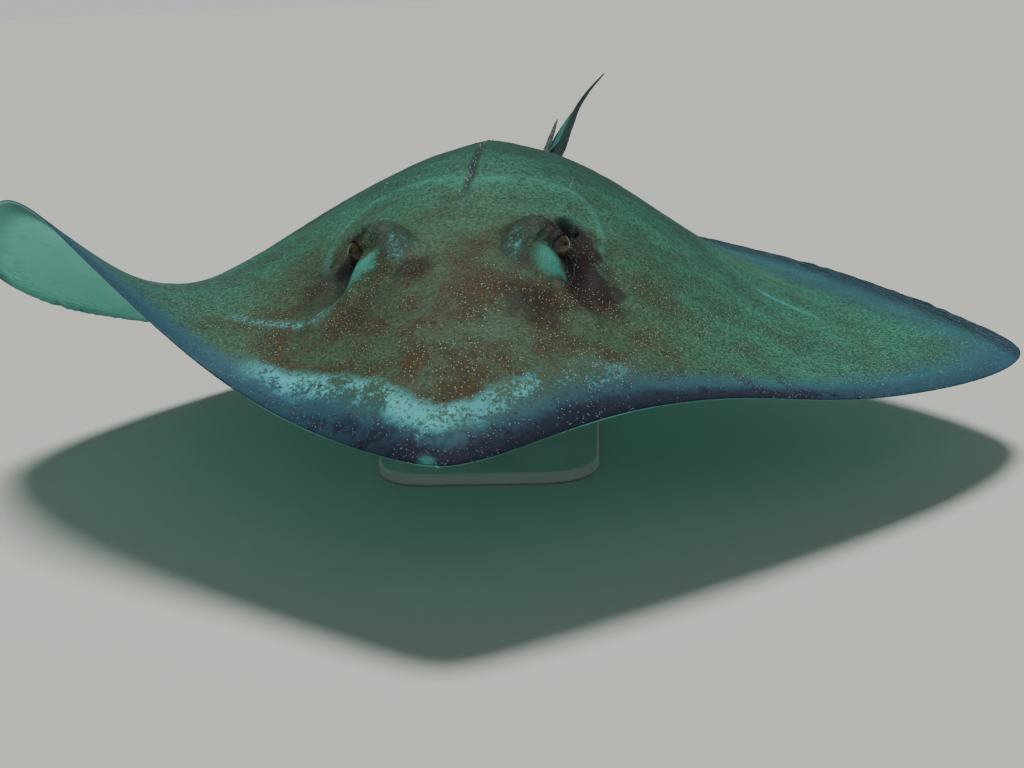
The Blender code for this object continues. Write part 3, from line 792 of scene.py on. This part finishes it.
# %% Values
class Value:
    """A socket of a finish that can be used in sums."""

    def __init__(self, finish, socket):
        self.finish = finish
        self.socket = socket

    def maths(self, operation, *terms):
        settings = {"operation": operation}
        return self.finish.add("ShaderNodeMath", settings, dict(enumerate(terms)))

    def __add__(self, other):
        return self.maths("ADD", self, other)

    def __sub__(self, other):
        return self.maths("SUBTRACT", self, other)

    def __rsub__(self, other):
        return self.maths("SUBTRACT", other, self)

    def __mul__(self, other):
        return self.maths("MULTIPLY", self, other)

    def __truediv__(self, other):
        return self.maths("DIVIDE", self, other)

    def __rtruediv__(self, other):
        return self.maths("DIVIDE", other, self)

    def __pow__(self, other):
        return self.maths("POWER", self, other)

    __radd__ = __add__
    __rmul__ = __mul__

    def size(self):
        return self.maths("ABSOLUTE", self)

    def least(self, other):
        return self.maths("MINIMUM", self, other)

    def most(self, other):
        return self.maths("MAXIMUM", self, other)

    def sine(self):
        return self.maths("SINE", self)

    def ease(self, low, high):
        """0 at low, 1 at high, smooth between them, whichever is larger."""
        settings = {"interpolation_type": "SMOOTHSTEP"}
        ends = {0: self, 1: low, 2: high, 3: 0.0, 4: 1.0}
        if low > high:
            ends.update({1: high, 2: low, 3: 1.0, 4: 0.0})
        return self.finish.add("ShaderNodeMapRange", settings, ends)


print("a value can be used in sums:", [n for n in vars(Value) if n.startswith("__r")])

# %% Finishes
class Finish:
    """A material, or the world's light, whose nodes are added one at a time."""

    def __init__(self, name, kind="materials", shader="Principled BSDF"):
        self.material = getattr(bpy.data, kind).new(name)
        self.material.use_nodes = True
        self.nodes = self.material.node_tree.nodes
        self.shader = self.nodes[shader]

    def add(self, kind, settings, sockets, out=0):
        """One node of a kind: its settings first, then what its sockets are fed."""
        node = self.nodes.new(kind)
        for key, value in settings.items():
            setattr(node, key, value)
        for key, value in sockets.items():
            self.feed(node.inputs[key], value)
        return Value(self, node.outputs[out])

    def feed(self, socket, value):
        if isinstance(value, Value):
            self.material.node_tree.links.new(value.socket, socket)
        else:
            socket.default_value = value

    def shade(self, **values):
        """Feeds the shader's sockets, named with _ for a space."""
        for name, value in values.items():
            self.feed(self.shader.inputs[name.replace("_", " ")], value)

    def attribute(self, name, out="Fac"):
        return self.add("ShaderNodeAttribute", {"attribute_name": name}, {}, out)

    def place(self):
        return self.add("ShaderNodeTexCoord", {}, {}, "Object")

    def noise(self, scale, detail, roughness=0.55, at=None):
        sockets = {"Vector": at or self.place(), "Scale": scale}
        sockets.update({"Detail": detail, "Roughness": roughness})
        return self.add("ShaderNodeTexNoise", {}, sockets)

    def cells(self, scale):
        """How far each place is from the nearest of many scattered points."""
        sockets = {"Vector": self.place(), "Scale": scale}
        return self.add("ShaderNodeTexVoronoi", {}, sockets, "Distance")

    def blend(self, under, over, mask):
        """One colour laid over another where the mask is 1."""
        settings = {"data_type": "RGBA"}
        return self.add("ShaderNodeMix", settings, {0: mask, 6: under, 7: over}, 2)

    def bump(self, height, distance, strength):
        sockets = {"Height": height, "Distance": distance, "Strength": strength}
        return self.add("ShaderNodeBump", {}, sockets, "Normal")


def tone(r, g, b):
    """A colour in linear light, as sockets want it."""
    return (r, g, b, 1.0)


print("a finish can add nodes, masks and colours")

# %% [markdown]
# ## The skin's finish
# The back is olive brown with reddish patches, darker round the eyes, and dusted with pale
# specks of sand. Round the eyes painted shade darkens the hollows and the spiracles, and the
# smooth front of each eye's tower is painted pale as lit. A blue-purple band follows the front
# margin, with a scuffed pale band of mucus behind it; two pale streaks on the animal's left wing
# are a painted highlight along a fold, and painted shade stripes the wrinkled rear margins. The
# belly is pale with a dusky border. All of it leans to blue-green, as it does a few metres down,
# where the water has taken part of the red out of the light. Each marking is a mask made from
# the place on the plan and broken up by noise, then laid over the colours below it. A painted
# picture could do the same, but it would blur close up.

# %% Colours of the skin
OLIVE, OLIVE_DARK = tone(0.064, 0.268, 0.170), tone(0.013, 0.060, 0.050)
BROWN, DUSKY = tone(0.090, 0.045, 0.012), tone(0.020, 0.007, 0.010)
MARGIN_BLUE, MARGIN_DARK = tone(0.030, 0.112, 0.170), tone(0.015, 0.015, 0.036)
MUCUS_AND_HIGHLIGHT, SAND = tone(0.10, 0.52, 0.56), tone(0.36, 0.56, 0.49)
PALE_TEAL, NEAR_BLACK = tone(0.06, 0.36, 0.29), tone(0.007, 0.005, 0.011)
BELLY, BELLY_DUSK = tone(0.15, 0.64, 0.52), tone(0.020, 0.070, 0.085)
TAIL_DARK = tone(0.010, 0.034, 0.034)
print("the back starts from", OLIVE[:3])

# %% Places and noises
skin_look = Finish("skin")
plan = skin_look.attribute("plan", "Vector")
x, y, tail = (skin_look.add("ShaderNodeSeparateXYZ", {}, {0: plan}, k) for k in range(3))
u = x.size()
left_side = x.ease(-0.02, 0.02)
upper, behind, fold = (skin_look.attribute(name) for name in ("upper", "behind", "fold"))
from_front, from_rear = (skin_look.attribute(name) for name in ("from_front", "from_rear"))
broad, patchy = skin_look.noise(9.0, 3.0), skin_look.noise(26.0, 4.0)
cloudy = skin_look.noise(70.0, 5.0, 0.62)
fine, grain = skin_look.noise(320.0, 3.0, 0.6), skin_look.noise(620.0, 2.0, 0.6)
pebbles = skin_look.cells(420.0)
print("noises from 9 to 620 to the metre, and", len(skin_look.nodes), "nodes so far")

# %% [markdown]
# A painter works in coats, each laid over the last through a mask. The small class below keeps
# the colour reached so far. Two masks come back often: a soft oval spot, and a ragged streak.

# %% Coats, spots and streaks
class Coats:
    """Colours laid one over another, from a ground colour up."""

    def __init__(self, ground):
        self.colour = ground

    def lay(self, over, mask):
        self.colour = skin_look.blend(self.colour, over, mask)


def spot(at, reach, ragged, turn=0.0):
    """A soft oval mark on both sides, with an edge broken up by noise."""
    du, dv = u - at[0], y - at[1]
    across = (du * math.cos(turn) - dv * math.sin(turn)) / reach[0]
    along = (du * math.sin(turn) + dv * math.cos(turn)) / reach[1]
    r = (across * across + along * along) ** 0.5
    return (r + (cloudy - 0.5) * ragged).ease(1.0, 0.35)


def streak(start, end, width):
    """A soft ragged line between two plan points, on one side only."""
    run = (end[0] - start[0], end[1] - start[1])
    du, dv = x - start[0], y - start[1]
    along = (du * run[0] + dv * run[1]) / (run[0] ** 2 + run[1] ** 2)
    along = along.least(1.0).most(0.0)
    across, back = du - along * run[0], dv - along * run[1]
    ragged = ((fine + cloudy) * 0.5 - 0.5) * (width * 3.2)
    return ((across * across + back * back) ** 0.5 + ragged).ease(width, 0.0)


print("a mask is a value:", type(left_side).__name__)

# %% Ground colours of the back
back_coats = Coats(OLIVE)
on_head = y.ease(0.40, 0.15) * u.ease(0.30, 0.10)
on_ridge = y.ease(0.33, 0.50) * u.ease(0.34, 0.12)
clouds = (patchy * 0.55 + broad * 0.30 + cloudy * 0.15).ease(0.42, 0.58)
back_coats.lay(OLIVE_DARK, (broad * 0.5 + patchy * 0.5).ease(0.40, 0.62) * 0.40)
back_coats.lay(MARGIN_BLUE, x.ease(-0.14, -0.32) * 0.45)
back_coats.lay(BROWN, on_head * (clouds * 0.32 + 0.58))
back_coats.lay(BROWN, (1 - on_head) * clouds * 0.20)
back_coats.lay(OLIVE_DARK, on_ridge * 0.70)
back_coats.lay(OLIVE_DARK, fine.ease(0.44, 0.58) * (0.72 - on_head * 0.26))
back_coats.lay(NEAR_BLACK, grain.ease(0.46, 0.60) * 0.46)
print("coats of the back laid with", len(skin_look.nodes), "nodes")

# %% [markdown]
# The skin round the eyes is darkened in patches, stronger on the animal's left. The hollow
# beside each eye and the foot of its tower's outer wall are painted shade over dark pigment, and
# the spiracles, painted with the shade inside their pits, are darkest of all. The front of each
# eye's tower is painted pale, as light falling on that smooth face. A faint pale ring runs round
# the gills behind the spiracles, and a dark line with the thorns runs back along the ridge.

# %% Marks, painted shade and painted light of the head
DARK_PATCHES_AND_SHADE = (  # colour, place, reach, raggedness, strength, and what the left side adds
    # the first two rows are painted shade over dark pigment: the hollow beside each eye, and the
    # foot of its tower's steep outer wall
    (DUSKY, (0.100, 0.196), (0.038, 0.060), 1.2, 0.552, 0.368),
    (NEAR_BLACK, (0.084, 0.222), (0.022, 0.030), 1.2, 0.80, 0),
    (DUSKY, (0.094, 0.250), (0.024, 0.040), 1.4, 0.35, 0.45),
    (NEAR_BLACK, (0.052, 0.205), (0.024, 0.036), 1.8, 0.45, 0),
    (DUSKY, (0.060, 0.142), (0.030, 0.032), 2.2, 0.30, 0.35),
    (NEAR_BLACK, (0.030, 0.172), (0.022, 0.020), 1.6, 0.50, -0.50),
)
LIT_FACE_AT, LIT_FACE_REACH = (0.072, 0.186), (0.0145, 0.0128)
for colour, at, reach, ragged, strength, added in DARK_PATCHES_AND_SHADE:
    strength = left_side * added + strength if added else strength
    back_coats.lay(colour, spot(at, reach, ragged) * strength)
# painted shade: each spiracle's pit is laid near black, as the shade inside the hole
spiracle_at = (SPIRACLE_OUT, SPIRACLE_BACK)
back_coats.lay(NEAR_BLACK, spot(spiracle_at, (0.015, 0.028), 0.2, SPIRACLE_TURN))
# painted light: the smooth front face of each eye's tower is laid pale as if lit, since it faces up
# and forwards, a little weaker on the animal's left
face = spot(LIT_FACE_AT, LIT_FACE_REACH, 1.5) * (0.45 + fine * 0.8) * (1 - left_side * 0.25)
back_coats.lay(PALE_TEAL, face.least(1.0))
ring_u = (u - RING_AT[0]).most(0.0) / RING_REACH[0] - (RING_AT[0] - u).most(0.0) / RING_INWARD
ring_v = (y - RING_AT[1]) / RING_REACH[1]
ring = (ring_u * ring_u + ring_v * ring_v) ** 0.5 + (cloudy - 0.5) * 0.12
ring_line = (ring - 1.05).size().ease(0.22, 0.0) * y.ease(0.20, 0.28)
back_coats.lay(PALE_TEAL, ring_line * cloudy.ease(0.30, 0.60) * 0.42)
midline = (u + (fine - 0.5) * 0.008).ease(0.0056, 0.0010)
back_coats.lay(MARGIN_DARK, midline * y.ease(0.27, 0.31) * y.ease(0.50, 0.40) * 0.75)
print("dark marks round each eye:", len(DARK_PATCHES_AND_SHADE))

# %% [markdown]
# The front margin is blue, and purple black at the very edge, most of all on the animal's left
# of the snout. The rear margins darken too, and painted shade stripes them, darker in the
# troughs of their wrinkles and lighter on the crests.

# %% Margins
wide = 0.036 + u.ease(0.16, 0.45) * 0.034
inwards = (from_front + (cloudy - 0.5) * 0.016 + (fine - 0.5) * 0.010) / wide
margin = inwards.ease(1.0, 0.20)
back_coats.lay(MARGIN_BLUE, margin * 0.88)
edge = inwards.ease(0.48, 0.08) * (0.28 + x.ease(-0.11, -0.01) * 0.64)
edge = edge * (1 - x.ease(0.20, 0.36) * 0.55)
mottled = (cloudy * 0.6 + patchy * 0.4).ease(0.46, 0.60)
mottled = mottled * x.ease(-0.18, -0.02) * x.ease(0.40, 0.20) * margin
back_coats.lay(MARGIN_DARK, (edge + mottled * 0.65).least(0.95))
outer = (from_rear + (cloudy - 0.5) * 0.03).ease(0.13, 0.045)
back_coats.lay(MARGIN_BLUE, outer * (1 - behind) * u.ease(0.12, 0.30) * 0.62)
free = (1 - behind) * u.ease(0.050, 0.075)
ripple = ((u * WRINKLE_RUN[0] + y * WRINKLE_RUN[1]) * 900 + cloudy * 14).sine()
trailing = (from_rear + (fine - 0.5) * 0.02).ease(0.052, 0.022) * free
# painted shade on the wrinkles: the margin's dark is laid strongest in each trough and weakest on
# each crest
back_coats.lay(MARGIN_DARK, trailing * (0.72 - ripple.ease(0.0, 0.9) * 0.45))
print("margins laid with", len(skin_look.nodes), "nodes")

# %% [markdown]
# Mucus dries and scuffs to a pale bloom: a ragged band just behind the front margin, patches
# on the towers in front of the eyes, and a few scrapes. Two pale streaks on the animal's left
# wing are a painted highlight along a fold there. Sand lies on all of it in specks.

# %% Mucus, scrapes and a painted highlight
SCRAPES_AND_HIGHLIGHTS = (  # start, end and width
    ((-0.086, 0.178), (-0.103, 0.150), 0.010),
    ((-0.181, 0.193), (-0.112, 0.149), 0.009),
    # the next two rows are a painted highlight along a fold of the animal's left wing, not scrapes
    ((0.262, 0.422), (0.306, 0.432), 0.013),
    ((0.207, 0.470), (0.267, 0.424), 0.003),
    ((-0.012, 0.018), (0.010, 0.036), 0.005),
)
streaked = cloudy * 0.45 + fine * 0.65 + grain * 0.50
inset = 0.030 - x.ease(-0.03, -0.13) * 0.009
band = (from_front - inset + (patchy - 0.5) * 0.026).size().ease(0.014, 0.003)
band = band * x.ease(0.15, 0.09) * x.ease(-0.17, -0.12) * (1 - left_side * 0.2)
band = band * (streaked + patchy * 0.8 - 0.40 - x.ease(0.01, 0.08) * 0.10).ease(0.68, 0.86)
on_tower = spot((0.046, 0.197), (0.011, 0.020), 1.6)
on_brow = spot((0.060, 0.224), (0.024, 0.010), 1.4)
worn = band + (on_tower * 0.8 + on_brow) * streaked.ease(0.76, 1.02)
for pale_streak in SCRAPES_AND_HIGHLIGHTS:
    worn = worn + streak(*pale_streak) * streaked.ease(0.74, 0.96)
# pale mucus and scrapes, together with the painted highlight of the two streaks on the left wing
back_coats.lay(MUCUS_AND_HIGHLIGHT, worn.least(1.0) * 0.94)
at_snout = (x + 0.005 + (fine - 0.5) * 0.010).size().ease(0.008, 0.002)
back_coats.lay(PALE_TEAL, at_snout * from_front.ease(0.0060, 0.0020) * 0.5)
print("scrapes:", len(SCRAPES_AND_HIGHLIGHTS))

# %% Sand and pits
specks = (pebbles + (grain - 0.5) * 0.30).ease(0.24, 0.10) * (patchy + cloudy).ease(0.90, 1.10)
dusted = (from_front - 0.08).size().ease(0.13, 0.0) * (0.7 + x.ease(0.0, 0.12) * 0.5) + 0.25
back_coats.lay(SAND, (specks * dusted * y.ease(0.75, 0.25)).least(0.8))
back_coats.lay(NEAR_BLACK, skin_look.cells(75.0).ease(0.14, 0.06) * 0.5)
print("sand and pits laid with", len(skin_look.nodes), "nodes")

# %% [markdown]
# The tail is darker than the back, and the fold under it is edged pale. The belly is plain,
# with a dusky border along both margins and a clean pale line at the very rim in front.

# %% Tail and belly
tail_coats = Coats(OLIVE_DARK)
tail_coats.lay(TAIL_DARK, tail.ease(0.06, 0.30))
tail_coats.lay(PALE_TEAL, fold.ease(0.001, 0.004) * fold.ease(0.016, 0.009) * 0.4)
back_coats.lay(tail_coats.colour, tail.ease(0.05, 0.11))
belly_coats = Coats(BELLY)
belly_coats.lay(BELLY_DUSK, (cloudy * 0.5 + broad * 0.5).ease(0.50, 0.72) * 0.25)
front_dusk = (from_front + (cloudy - 0.5) * 0.012).ease(0.028, 0.008)
front_dusk = front_dusk * (1 - u.ease(0.36, 0.46) * 0.6) * from_front.ease(0.0008, 0.0016)
rear_dusk = (from_rear + (cloudy - 0.5) * 0.03).ease(0.026, 0.0)
dusk = front_dusk * 0.9 + rear_dusk * 0.5
belly_coats.lay(BELLY_DUSK, (dusk + tail.ease(0.08, 0.25)).least(1.0))
print("tail and belly laid with", len(skin_look.nodes), "nodes")

# %% [markdown]
# The last cell makes the small relief, in millimetres: grain, soft pebbling, and the wrinkles of
# the rear margins. Skin under mucus is satin, not mirror bright, so it stays fairly rough.

# %% Relief and shine
relief = fine * 0.30 + cloudy * 0.44 + pebbles.ease(0.0, 0.35) * 0.18
relief = relief + ripple * from_rear.ease(0.050, 0.010) * free * 1.1
dry = (cloudy + patchy).ease(0.75, 1.25)
skin_look.shade(
    Base_Color=skin_look.blend(belly_coats.colour, back_coats.colour, upper),
    Roughness=0.58 + dry * 0.18, Normal=skin_look.bump(relief, 0.001, 0.65),
    Specular_IOR_Level=0.16,
)
skin.data.materials.clear()
skin.data.materials.append(skin_look.material)
print("skin finish has", len(skin_look.nodes), "nodes")

# %% [markdown]
# ## Eyes
# The eye of a ray is a ball with a golden iris, and its pupil is a dark crescent under a fringed
# flap that shuts out bright light. The ball bulges a little at the cornea. One mesh carries
# all of it, with the crescent in the finish and a clear coat for the wet surface.

# %% Finish of the eyes
IRIS_DARK, IRIS_GOLD = tone(0.020, 0.019, 0.007), tone(0.13, 0.105, 0.030)
IRIS_RIM, EYE_BORDER = tone(0.05, 0.03, 0.012), tone(0.018, 0.022, 0.022)
PUPIL = tone(0.004, 0.004, 0.005)


def eye_finish():
    """Gold with a dark crescent; along and up are places on the ball seen from ahead."""
    f = Finish("iris")
    gaze = f.attribute("gaze", "Vector")
    along, up = (f.add("ShaderNodeSeparateXYZ", {}, {0: gaze}, k) for k in range(2))
    r = (along * along + up * up) ** 0.5
    fibres = f.noise(260.0, 5.0, 0.65)
    gold = f.blend(IRIS_DARK, IRIS_GOLD, fibres.ease(0.42, 0.64))
    gold = f.blend(gold, IRIS_RIM, r.ease(0.42, 0.66))
    lower = (up + 0.26 - along * along * 0.55).ease(-0.03, 0.03)
    flap = 1 - (up + 0.02 + along * along * 1.3).ease(-0.04, 0.04)
    pupil = lower * flap * along.size().ease(0.50, 0.40)
    colour = f.blend(gold, PUPIL, pupil)
    colour = f.blend(colour, EYE_BORDER, r.ease(0.64, 0.76))
    f.shade(Base_Color=colour, Roughness=0.35, Coat_Weight=0.6, Coat_Roughness=0.10, IOR=1.38)
    return f.material


iris_finish = eye_finish()
print("eye finish has", len(iris_finish.node_tree.nodes), "nodes")

# %% Eyeballs
CORNEA_BULGE, CORNEA_REACH = 0.045, 0.62


def eyeball(name, side):
    """A ball whose points know their place seen from ahead, for the finish."""
    centre, look, along, up = eye_axes(side)
    radius = EYE_RADIUS * DISC_WIDTH
    bm = bmesh.new()
    bmesh.ops.create_icosphere(bm, subdivisions=6, radius=1.0)
    points = np.array([v.co for v in bm.verts])
    facets = [[v.index for v in face.verts] for face in bm.faces]
    bm.free()
    off_axis = np.hypot(points[:, 0], points[:, 1])
    bulge = 1 + CORNEA_BULGE * ease(CORNEA_REACH, 0.0, off_axis) * (points[:, 2] > 0)
    world = points * bulge[:, None] * radius
    world = centre + world @ np.stack([along, up, look])
    ball = mesh_object(name, world, facets)
    add_attribute(ball, "gaze", points)
    ball.data.materials.append(iris_finish)
    return ball


eyes = {"eye_left": eyeball("eyeball_left", 1), "eye_right": eyeball("eyeball_right", -1)}
print("eyeballs of", round(2000 * EYE_RADIUS * DISC_WIDTH, 1), "mm")

# %% [markdown]
# ## The sting and the thorns
# The sting is a flat spine with saw teeth that point forwards, and a row of small thorns runs
# down the middle of the back. Both are hard, and stained as old bone is in the sea. They are
# built by loops, as rings of points for the sting and as little cones for the thorns. A screw
# modifier or an array could repeat a tooth, but the teeth have to shrink towards the point.

# %% Sting
SPINE_AT, SPINE_LENGTH, SPINE_HALF, SPINE_SUNK = 0.165, 0.155, 0.0042, 0.006
SPINE_LIFT, SPINE_TURN = math.radians(9), math.radians(3)
FINE_TEETH, RINGS_PER_TOOTH, TOOTH_DEPTH = 44, 6, 0.22


def sting():
    """A flat tapering blade, grooved along the top, with teeth on both edges."""
    centre, back, left, up = tail_frame(SPINE_AT)
    flat = back * math.cos(SPINE_TURN) - left * math.sin(SPINE_TURN)
    along = (flat * math.cos(SPINE_LIFT) + up * math.sin(SPINE_LIFT)).normalized()
    left = along.cross(up).normalized()
    normal = left.cross(along)
    root = centre + up * (tail_size(SPINE_AT)[1] + 0.0018 + SPINE_HALF * DISC_WIDTH * 0.45)
    root -= along * SPINE_SUNK
    length, half = SPINE_LENGTH * DISC_WIDTH + SPINE_SUNK, SPINE_HALF * DISC_WIDTH
    rings = []
    steps = FINE_TEETH * RINGS_PER_TOOTH
    for k in range(steps + 1):
        share = k / steps
        into_tooth = (k % RINGS_PER_TOOTH) / RINGS_PER_TOOTH
        tooth = 1 - TOOTH_DEPTH * into_tooth * float(ease(0.18, 0.28, share))
        width = half * (1 - share**2.2) ** 0.6 + 0.0002
        thick = 0.42 * half * (1 - share**2) ** 0.7 + 0.00015
        edge = width * tooth
        profile = [
            (edge, 0), (width * 0.62, thick * 0.55), (width * 0.34, thick),
            (width * 0.10, thick * 0.72), (-width * 0.10, thick * 0.72), (-width * 0.34, thick),
            (-width * 0.62, thick * 0.55), (-edge, 0), (-width * 0.5, -thick * 0.8),
            (0, -thick), (width * 0.5, -thick * 0.8),
        ]
        at = root + along * length * share
        rings.append([at + left * a + normal * b for a, b in profile])
    sides = len(rings[0])
    last = (len(rings) - 1) * sides
    faces = [tuple(range(sides)), tuple(last + k for k in reversed(range(sides)))]
    for r in range(len(rings) - 1):
        for k in range(sides):
            i, j = r * sides + k, r * sides + (k + 1) % sides
            faces.append((i, i + sides, j + sides, j))
    obj = mesh_object("sting", [tuple(p) for ring in rings for p in ring], faces)
    obj.data.set_sharp_from_angle(angle=math.radians(35))
    return obj


spine = sting()
print("sting", round(SPINE_LENGTH * DISC_WIDTH * 1000), "mm long with", FINE_TEETH, "teeth a side")

# %% Finishes of sting and thorns
BONE, BONE_STAIN = tone(0.060, 0.100, 0.075), tone(0.018, 0.045, 0.038)
BONE_WORN = tone(0.24, 0.30, 0.24)
THORN_DARK, THORN_PALE = tone(0.14, 0.17, 0.16), tone(0.34, 0.38, 0.33)


def bone_finish():
    """Stained bone whose fine grain is worn pale."""
    f = Finish("bone")
    grain = f.noise(900.0, 4.0, 0.6)
    stain = f.noise(60.0, 4.0)
    colour = f.blend(BONE, BONE_STAIN, stain.ease(0.40, 0.60))
    colour = f.blend(colour, BONE_WORN, grain.ease(0.55, 0.70) * 0.5)
    normal = f.bump(grain, 0.0003, 0.6)
    f.shade(Base_Color=colour, Roughness=0.42 + grain * 0.2, Normal=normal)
    f.shade(Specular_IOR_Level=0.5)
    return f.material


def thorn_finish():
    f = Finish("thorn")
    colour = f.blend(THORN_DARK, THORN_PALE, f.noise(400.0, 3.0).ease(0.45, 0.65))
    f.shade(Base_Color=colour, Roughness=0.5)
    return f.material


spine.data.materials.append(bone_finish())
print("the sting's finish:", spine.data.materials[0].name)

# %% Thorns
NAPE, NAPE_END, SPARSE_FROM, THORNS_END = 0.288, 0.36, 0.40, 0.74
SIDE_THORNS, SIDE_THORNS_OUT, SIDE_THORNS_BACK, SIDE_THORNS_STEP = 4, 0.085, 0.375, 0.011
THORN_SIDES = 10


def thorn_places():
    """Plan places and sizes of the thorns, crowded on the nape and sparse behind it."""
    rng = np.random.default_rng(3)
    spots = []
    y = NAPE
    while y < THORNS_END:
        crowd = 2 if y < NAPE_END else 1
        for _ in range(crowd):
            x = rng.normal(0.0, 0.0014 * crowd)
            spots.append((x, y + rng.normal(0, 0.001), rng.uniform(0.3, 0.6)))
        y += 0.0075 if y < SPARSE_FROM else rng.uniform(0.012, 0.020)
    for side in (1, -1):
        for k in range(SIDE_THORNS):
            x = side * (SIDE_THORNS_OUT + rng.normal(0, 0.001))
            spots.append((x, SIDE_THORNS_BACK + SIDE_THORNS_STEP * k, rng.uniform(0.35, 0.5)))
    return spots


def thorn(x, y, size):
    """The points of one cone that leans back: its sunk foot, its shoulder and its tip."""
    x, y, step = np.array(x), np.array(y), 0.002
    at = Vector(place(x, y, back_top(x, y)))
    back = (Vector(place(x, y + step, back_top(x, y + step))) - at).normalized()
    left = (Vector(place(x + step, y, back_top(x + step, y))) - at).normalized()
    up = left.cross(back).normalized()

    def ring(centre, along, across):
        turns = np.linspace(0, 2 * np.pi, THORN_SIDES, endpoint=False)
        return [
            centre + back * (along * math.cos(t)) + left * (across * math.sin(t)) for t in turns
        ]

    foot = ring(at - up * 0.0012, 0.0042 * size, 0.0024 * size)
    shoulder = ring(at + back * 0.0009 + up * 0.0014 * size, 0.0020 * size, 0.0011 * size)
    return [*foot, *shoulder, at + back * 0.0042 * size + up * 0.0036 * size]


def thorns():
    """All the thorns in one mesh."""
    verts, faces = [], []
    for x, y, size in thorn_places():
        foot = len(verts)
        shoulder, tip = foot + THORN_SIDES, foot + 2 * THORN_SIDES
        verts += thorn(x, y, size)
        faces.append(tuple(reversed(range(foot, shoulder))))
        for k in range(THORN_SIDES):
            then = (k + 1) % THORN_SIDES
            faces.append((foot + k, foot + then, shoulder + then, shoulder + k))
            faces.append((shoulder + k, shoulder + then, tip))
    return mesh_object("back_thorns", verts, faces)


back_thorns = thorns()
back_thorns.data.materials.append(thorn_finish())
print("thorns:", len(thorn_places()))

# %% [markdown]
# ## The stand
# A swimming animal needs something to hold it up. The stand's solids already have their true
# shapes, so they stay and only get better finishes: satin paint with a faint orange peel on the
# base, and brushed steel with fine rings on the rods.

# %% Stand finishes
def paint_finish():
    """Satin paint, a little dusty, with a fine orange peel."""
    f = Finish("base_paint")
    peel = f.noise(900.0, 2.0)
    dust = f.noise(14.0, 5.0)
    colour = f.blend(tone(0.56, 0.57, 0.56), tone(0.47, 0.48, 0.47), dust.ease(0.42, 0.70) * 0.5)
    f.shade(Base_Color=colour, Roughness=0.40 + dust * 0.2, Normal=f.bump(peel, 0.0002, 0.5))
    return f.material


def steel_finish():
    """Steel brushed round the rod: the noise is squeezed along it into thin rings."""
    f = Finish("rod_steel")
    stretched = f.add("ShaderNodeMapping", {}, {"Vector": f.place(), "Scale": (60.0, 60.0, 2600.0)})
    rings = f.noise(1.0, 3.0, 0.6, at=stretched)
    colour = f.blend(tone(0.42, 0.43, 0.44), tone(0.66, 0.67, 0.68), rings.ease(0.35, 0.65))
    f.shade(Base_Color=colour, Metallic=1.0, Roughness=0.26 + rings * 0.16)
    f.shade(Normal=f.bump(rings, 0.0001, 0.5))
    return f.material


stand_finishes = {"stand_base": paint_finish()}
stand_finishes.update(dict.fromkeys(("stand_rod_front", "stand_rod_rear"), steel_finish()))
for name, finish in stand_finishes.items():
    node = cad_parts[name]
    node.data.materials.clear()
    node.data.materials.append(finish)
print("stand pieces finished:", sorted(stand_finishes))

# %% [markdown]
# ## Floor and light
# The ray is shown over a plain pale floor. A broad soft light hangs above and a little behind
# it, as the sun does over shallow sand, and a weak one by the camera opens up the shadows.

# %% Floor
FLOOR_REACH, FLOOR_DROP = 300.0, 0.0005  # just under the stand, so the two never share a plane
floor_mesh = bpy.data.meshes.new("floor")
corners = [(x_way * FLOOR_REACH, y_way * FLOOR_REACH, 0)
           for x_way, y_way in ((-1, -1), (1, -1), (1, 1), (-1, 1))]
floor_mesh.from_pydata(corners, [], [(0, 1, 2, 3)])
floor = bpy.data.objects.new("floor", floor_mesh)
floor.location.z = -FLOOR_DROP
bpy.context.scene.collection.objects.link(floor)
floor_finish = Finish("floor")
floor_finish.shade(Base_Color=tone(0.62, 0.63, 0.60), Roughness=0.85)
floor.data.materials.append(floor_finish.material)
print("the floor reaches", FLOOR_REACH, "m each way")

# %% Lights
def lamp(name, kind, location, target, power, colour, **shape):
    """A lamp at a place, turned towards its target."""
    light = bpy.data.lights.new(name, kind)
    light.energy = power
    light.color = colour
    for key, value in shape.items():
        setattr(light, key, value)
    obj = bpy.data.objects.new(name, light)
    obj.location = location
    obj.rotation_mode = "QUATERNION"
    obj.rotation_quaternion = (Vector(target) - Vector(location)).to_track_quat("-Z", "Y")
    bpy.context.scene.collection.objects.link(obj)


middle = Vector((0, -0.1, 0.2))
lamp("sun", "SUN", (0.0, 0.35, 3.0), middle, 3.0, (1.0, 0.98, 0.94), angle=math.radians(16))
lamp("fill", "AREA", (0.9, -2.6, 1.7), middle, 5, (0.92, 0.98, 1.0), size=2.0)


def studio_world():
    """Dim soft light from all round, as bright as the floor only close to the horizon."""
    f = Finish("studio", "worlds", "Background")
    direction = f.add("ShaderNodeTexCoord", {}, {}, "Generated")
    rise = f.add("ShaderNodeSeparateXYZ", {}, {0: direction}, "Z")
    fall = {"Value": rise, "From Min": 0.04, "From Max": 0.14, "To Min": 0.62, "To Max": 0.14}
    f.shade(Color=tone(0.97, 1.0, 0.98), Strength=f.add("ShaderNodeMapRange", {}, fall))
    return f.material


bpy.context.scene.world = studio_world()

# %% [markdown]
# ## Everything rides on the model
# The model is still, so every piece rides on its one body. The skin stands for all the solids of
# flesh, and the detailed eyes and sting stand for the plain ones. The last lines hang each piece
# on the body and hide the plain solids that they replace.

# %% Hang on the body
FLESH = (
    "head", "trunk", "wing_left", "wing_right", "pelvic_fin_left", "pelvic_fin_right",
    "tail_base", "tail_middle", "tail_whip", "tail_fold",
)
for piece, slot_name in ((skin, "skin"), (spine, "bone"), (back_thorns, "bone")):
    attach(piece, "root")
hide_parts(*FLESH)
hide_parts("tail_spine")
for node_name, ball in eyes.items():
    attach(ball, "root")
    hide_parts(node_name)
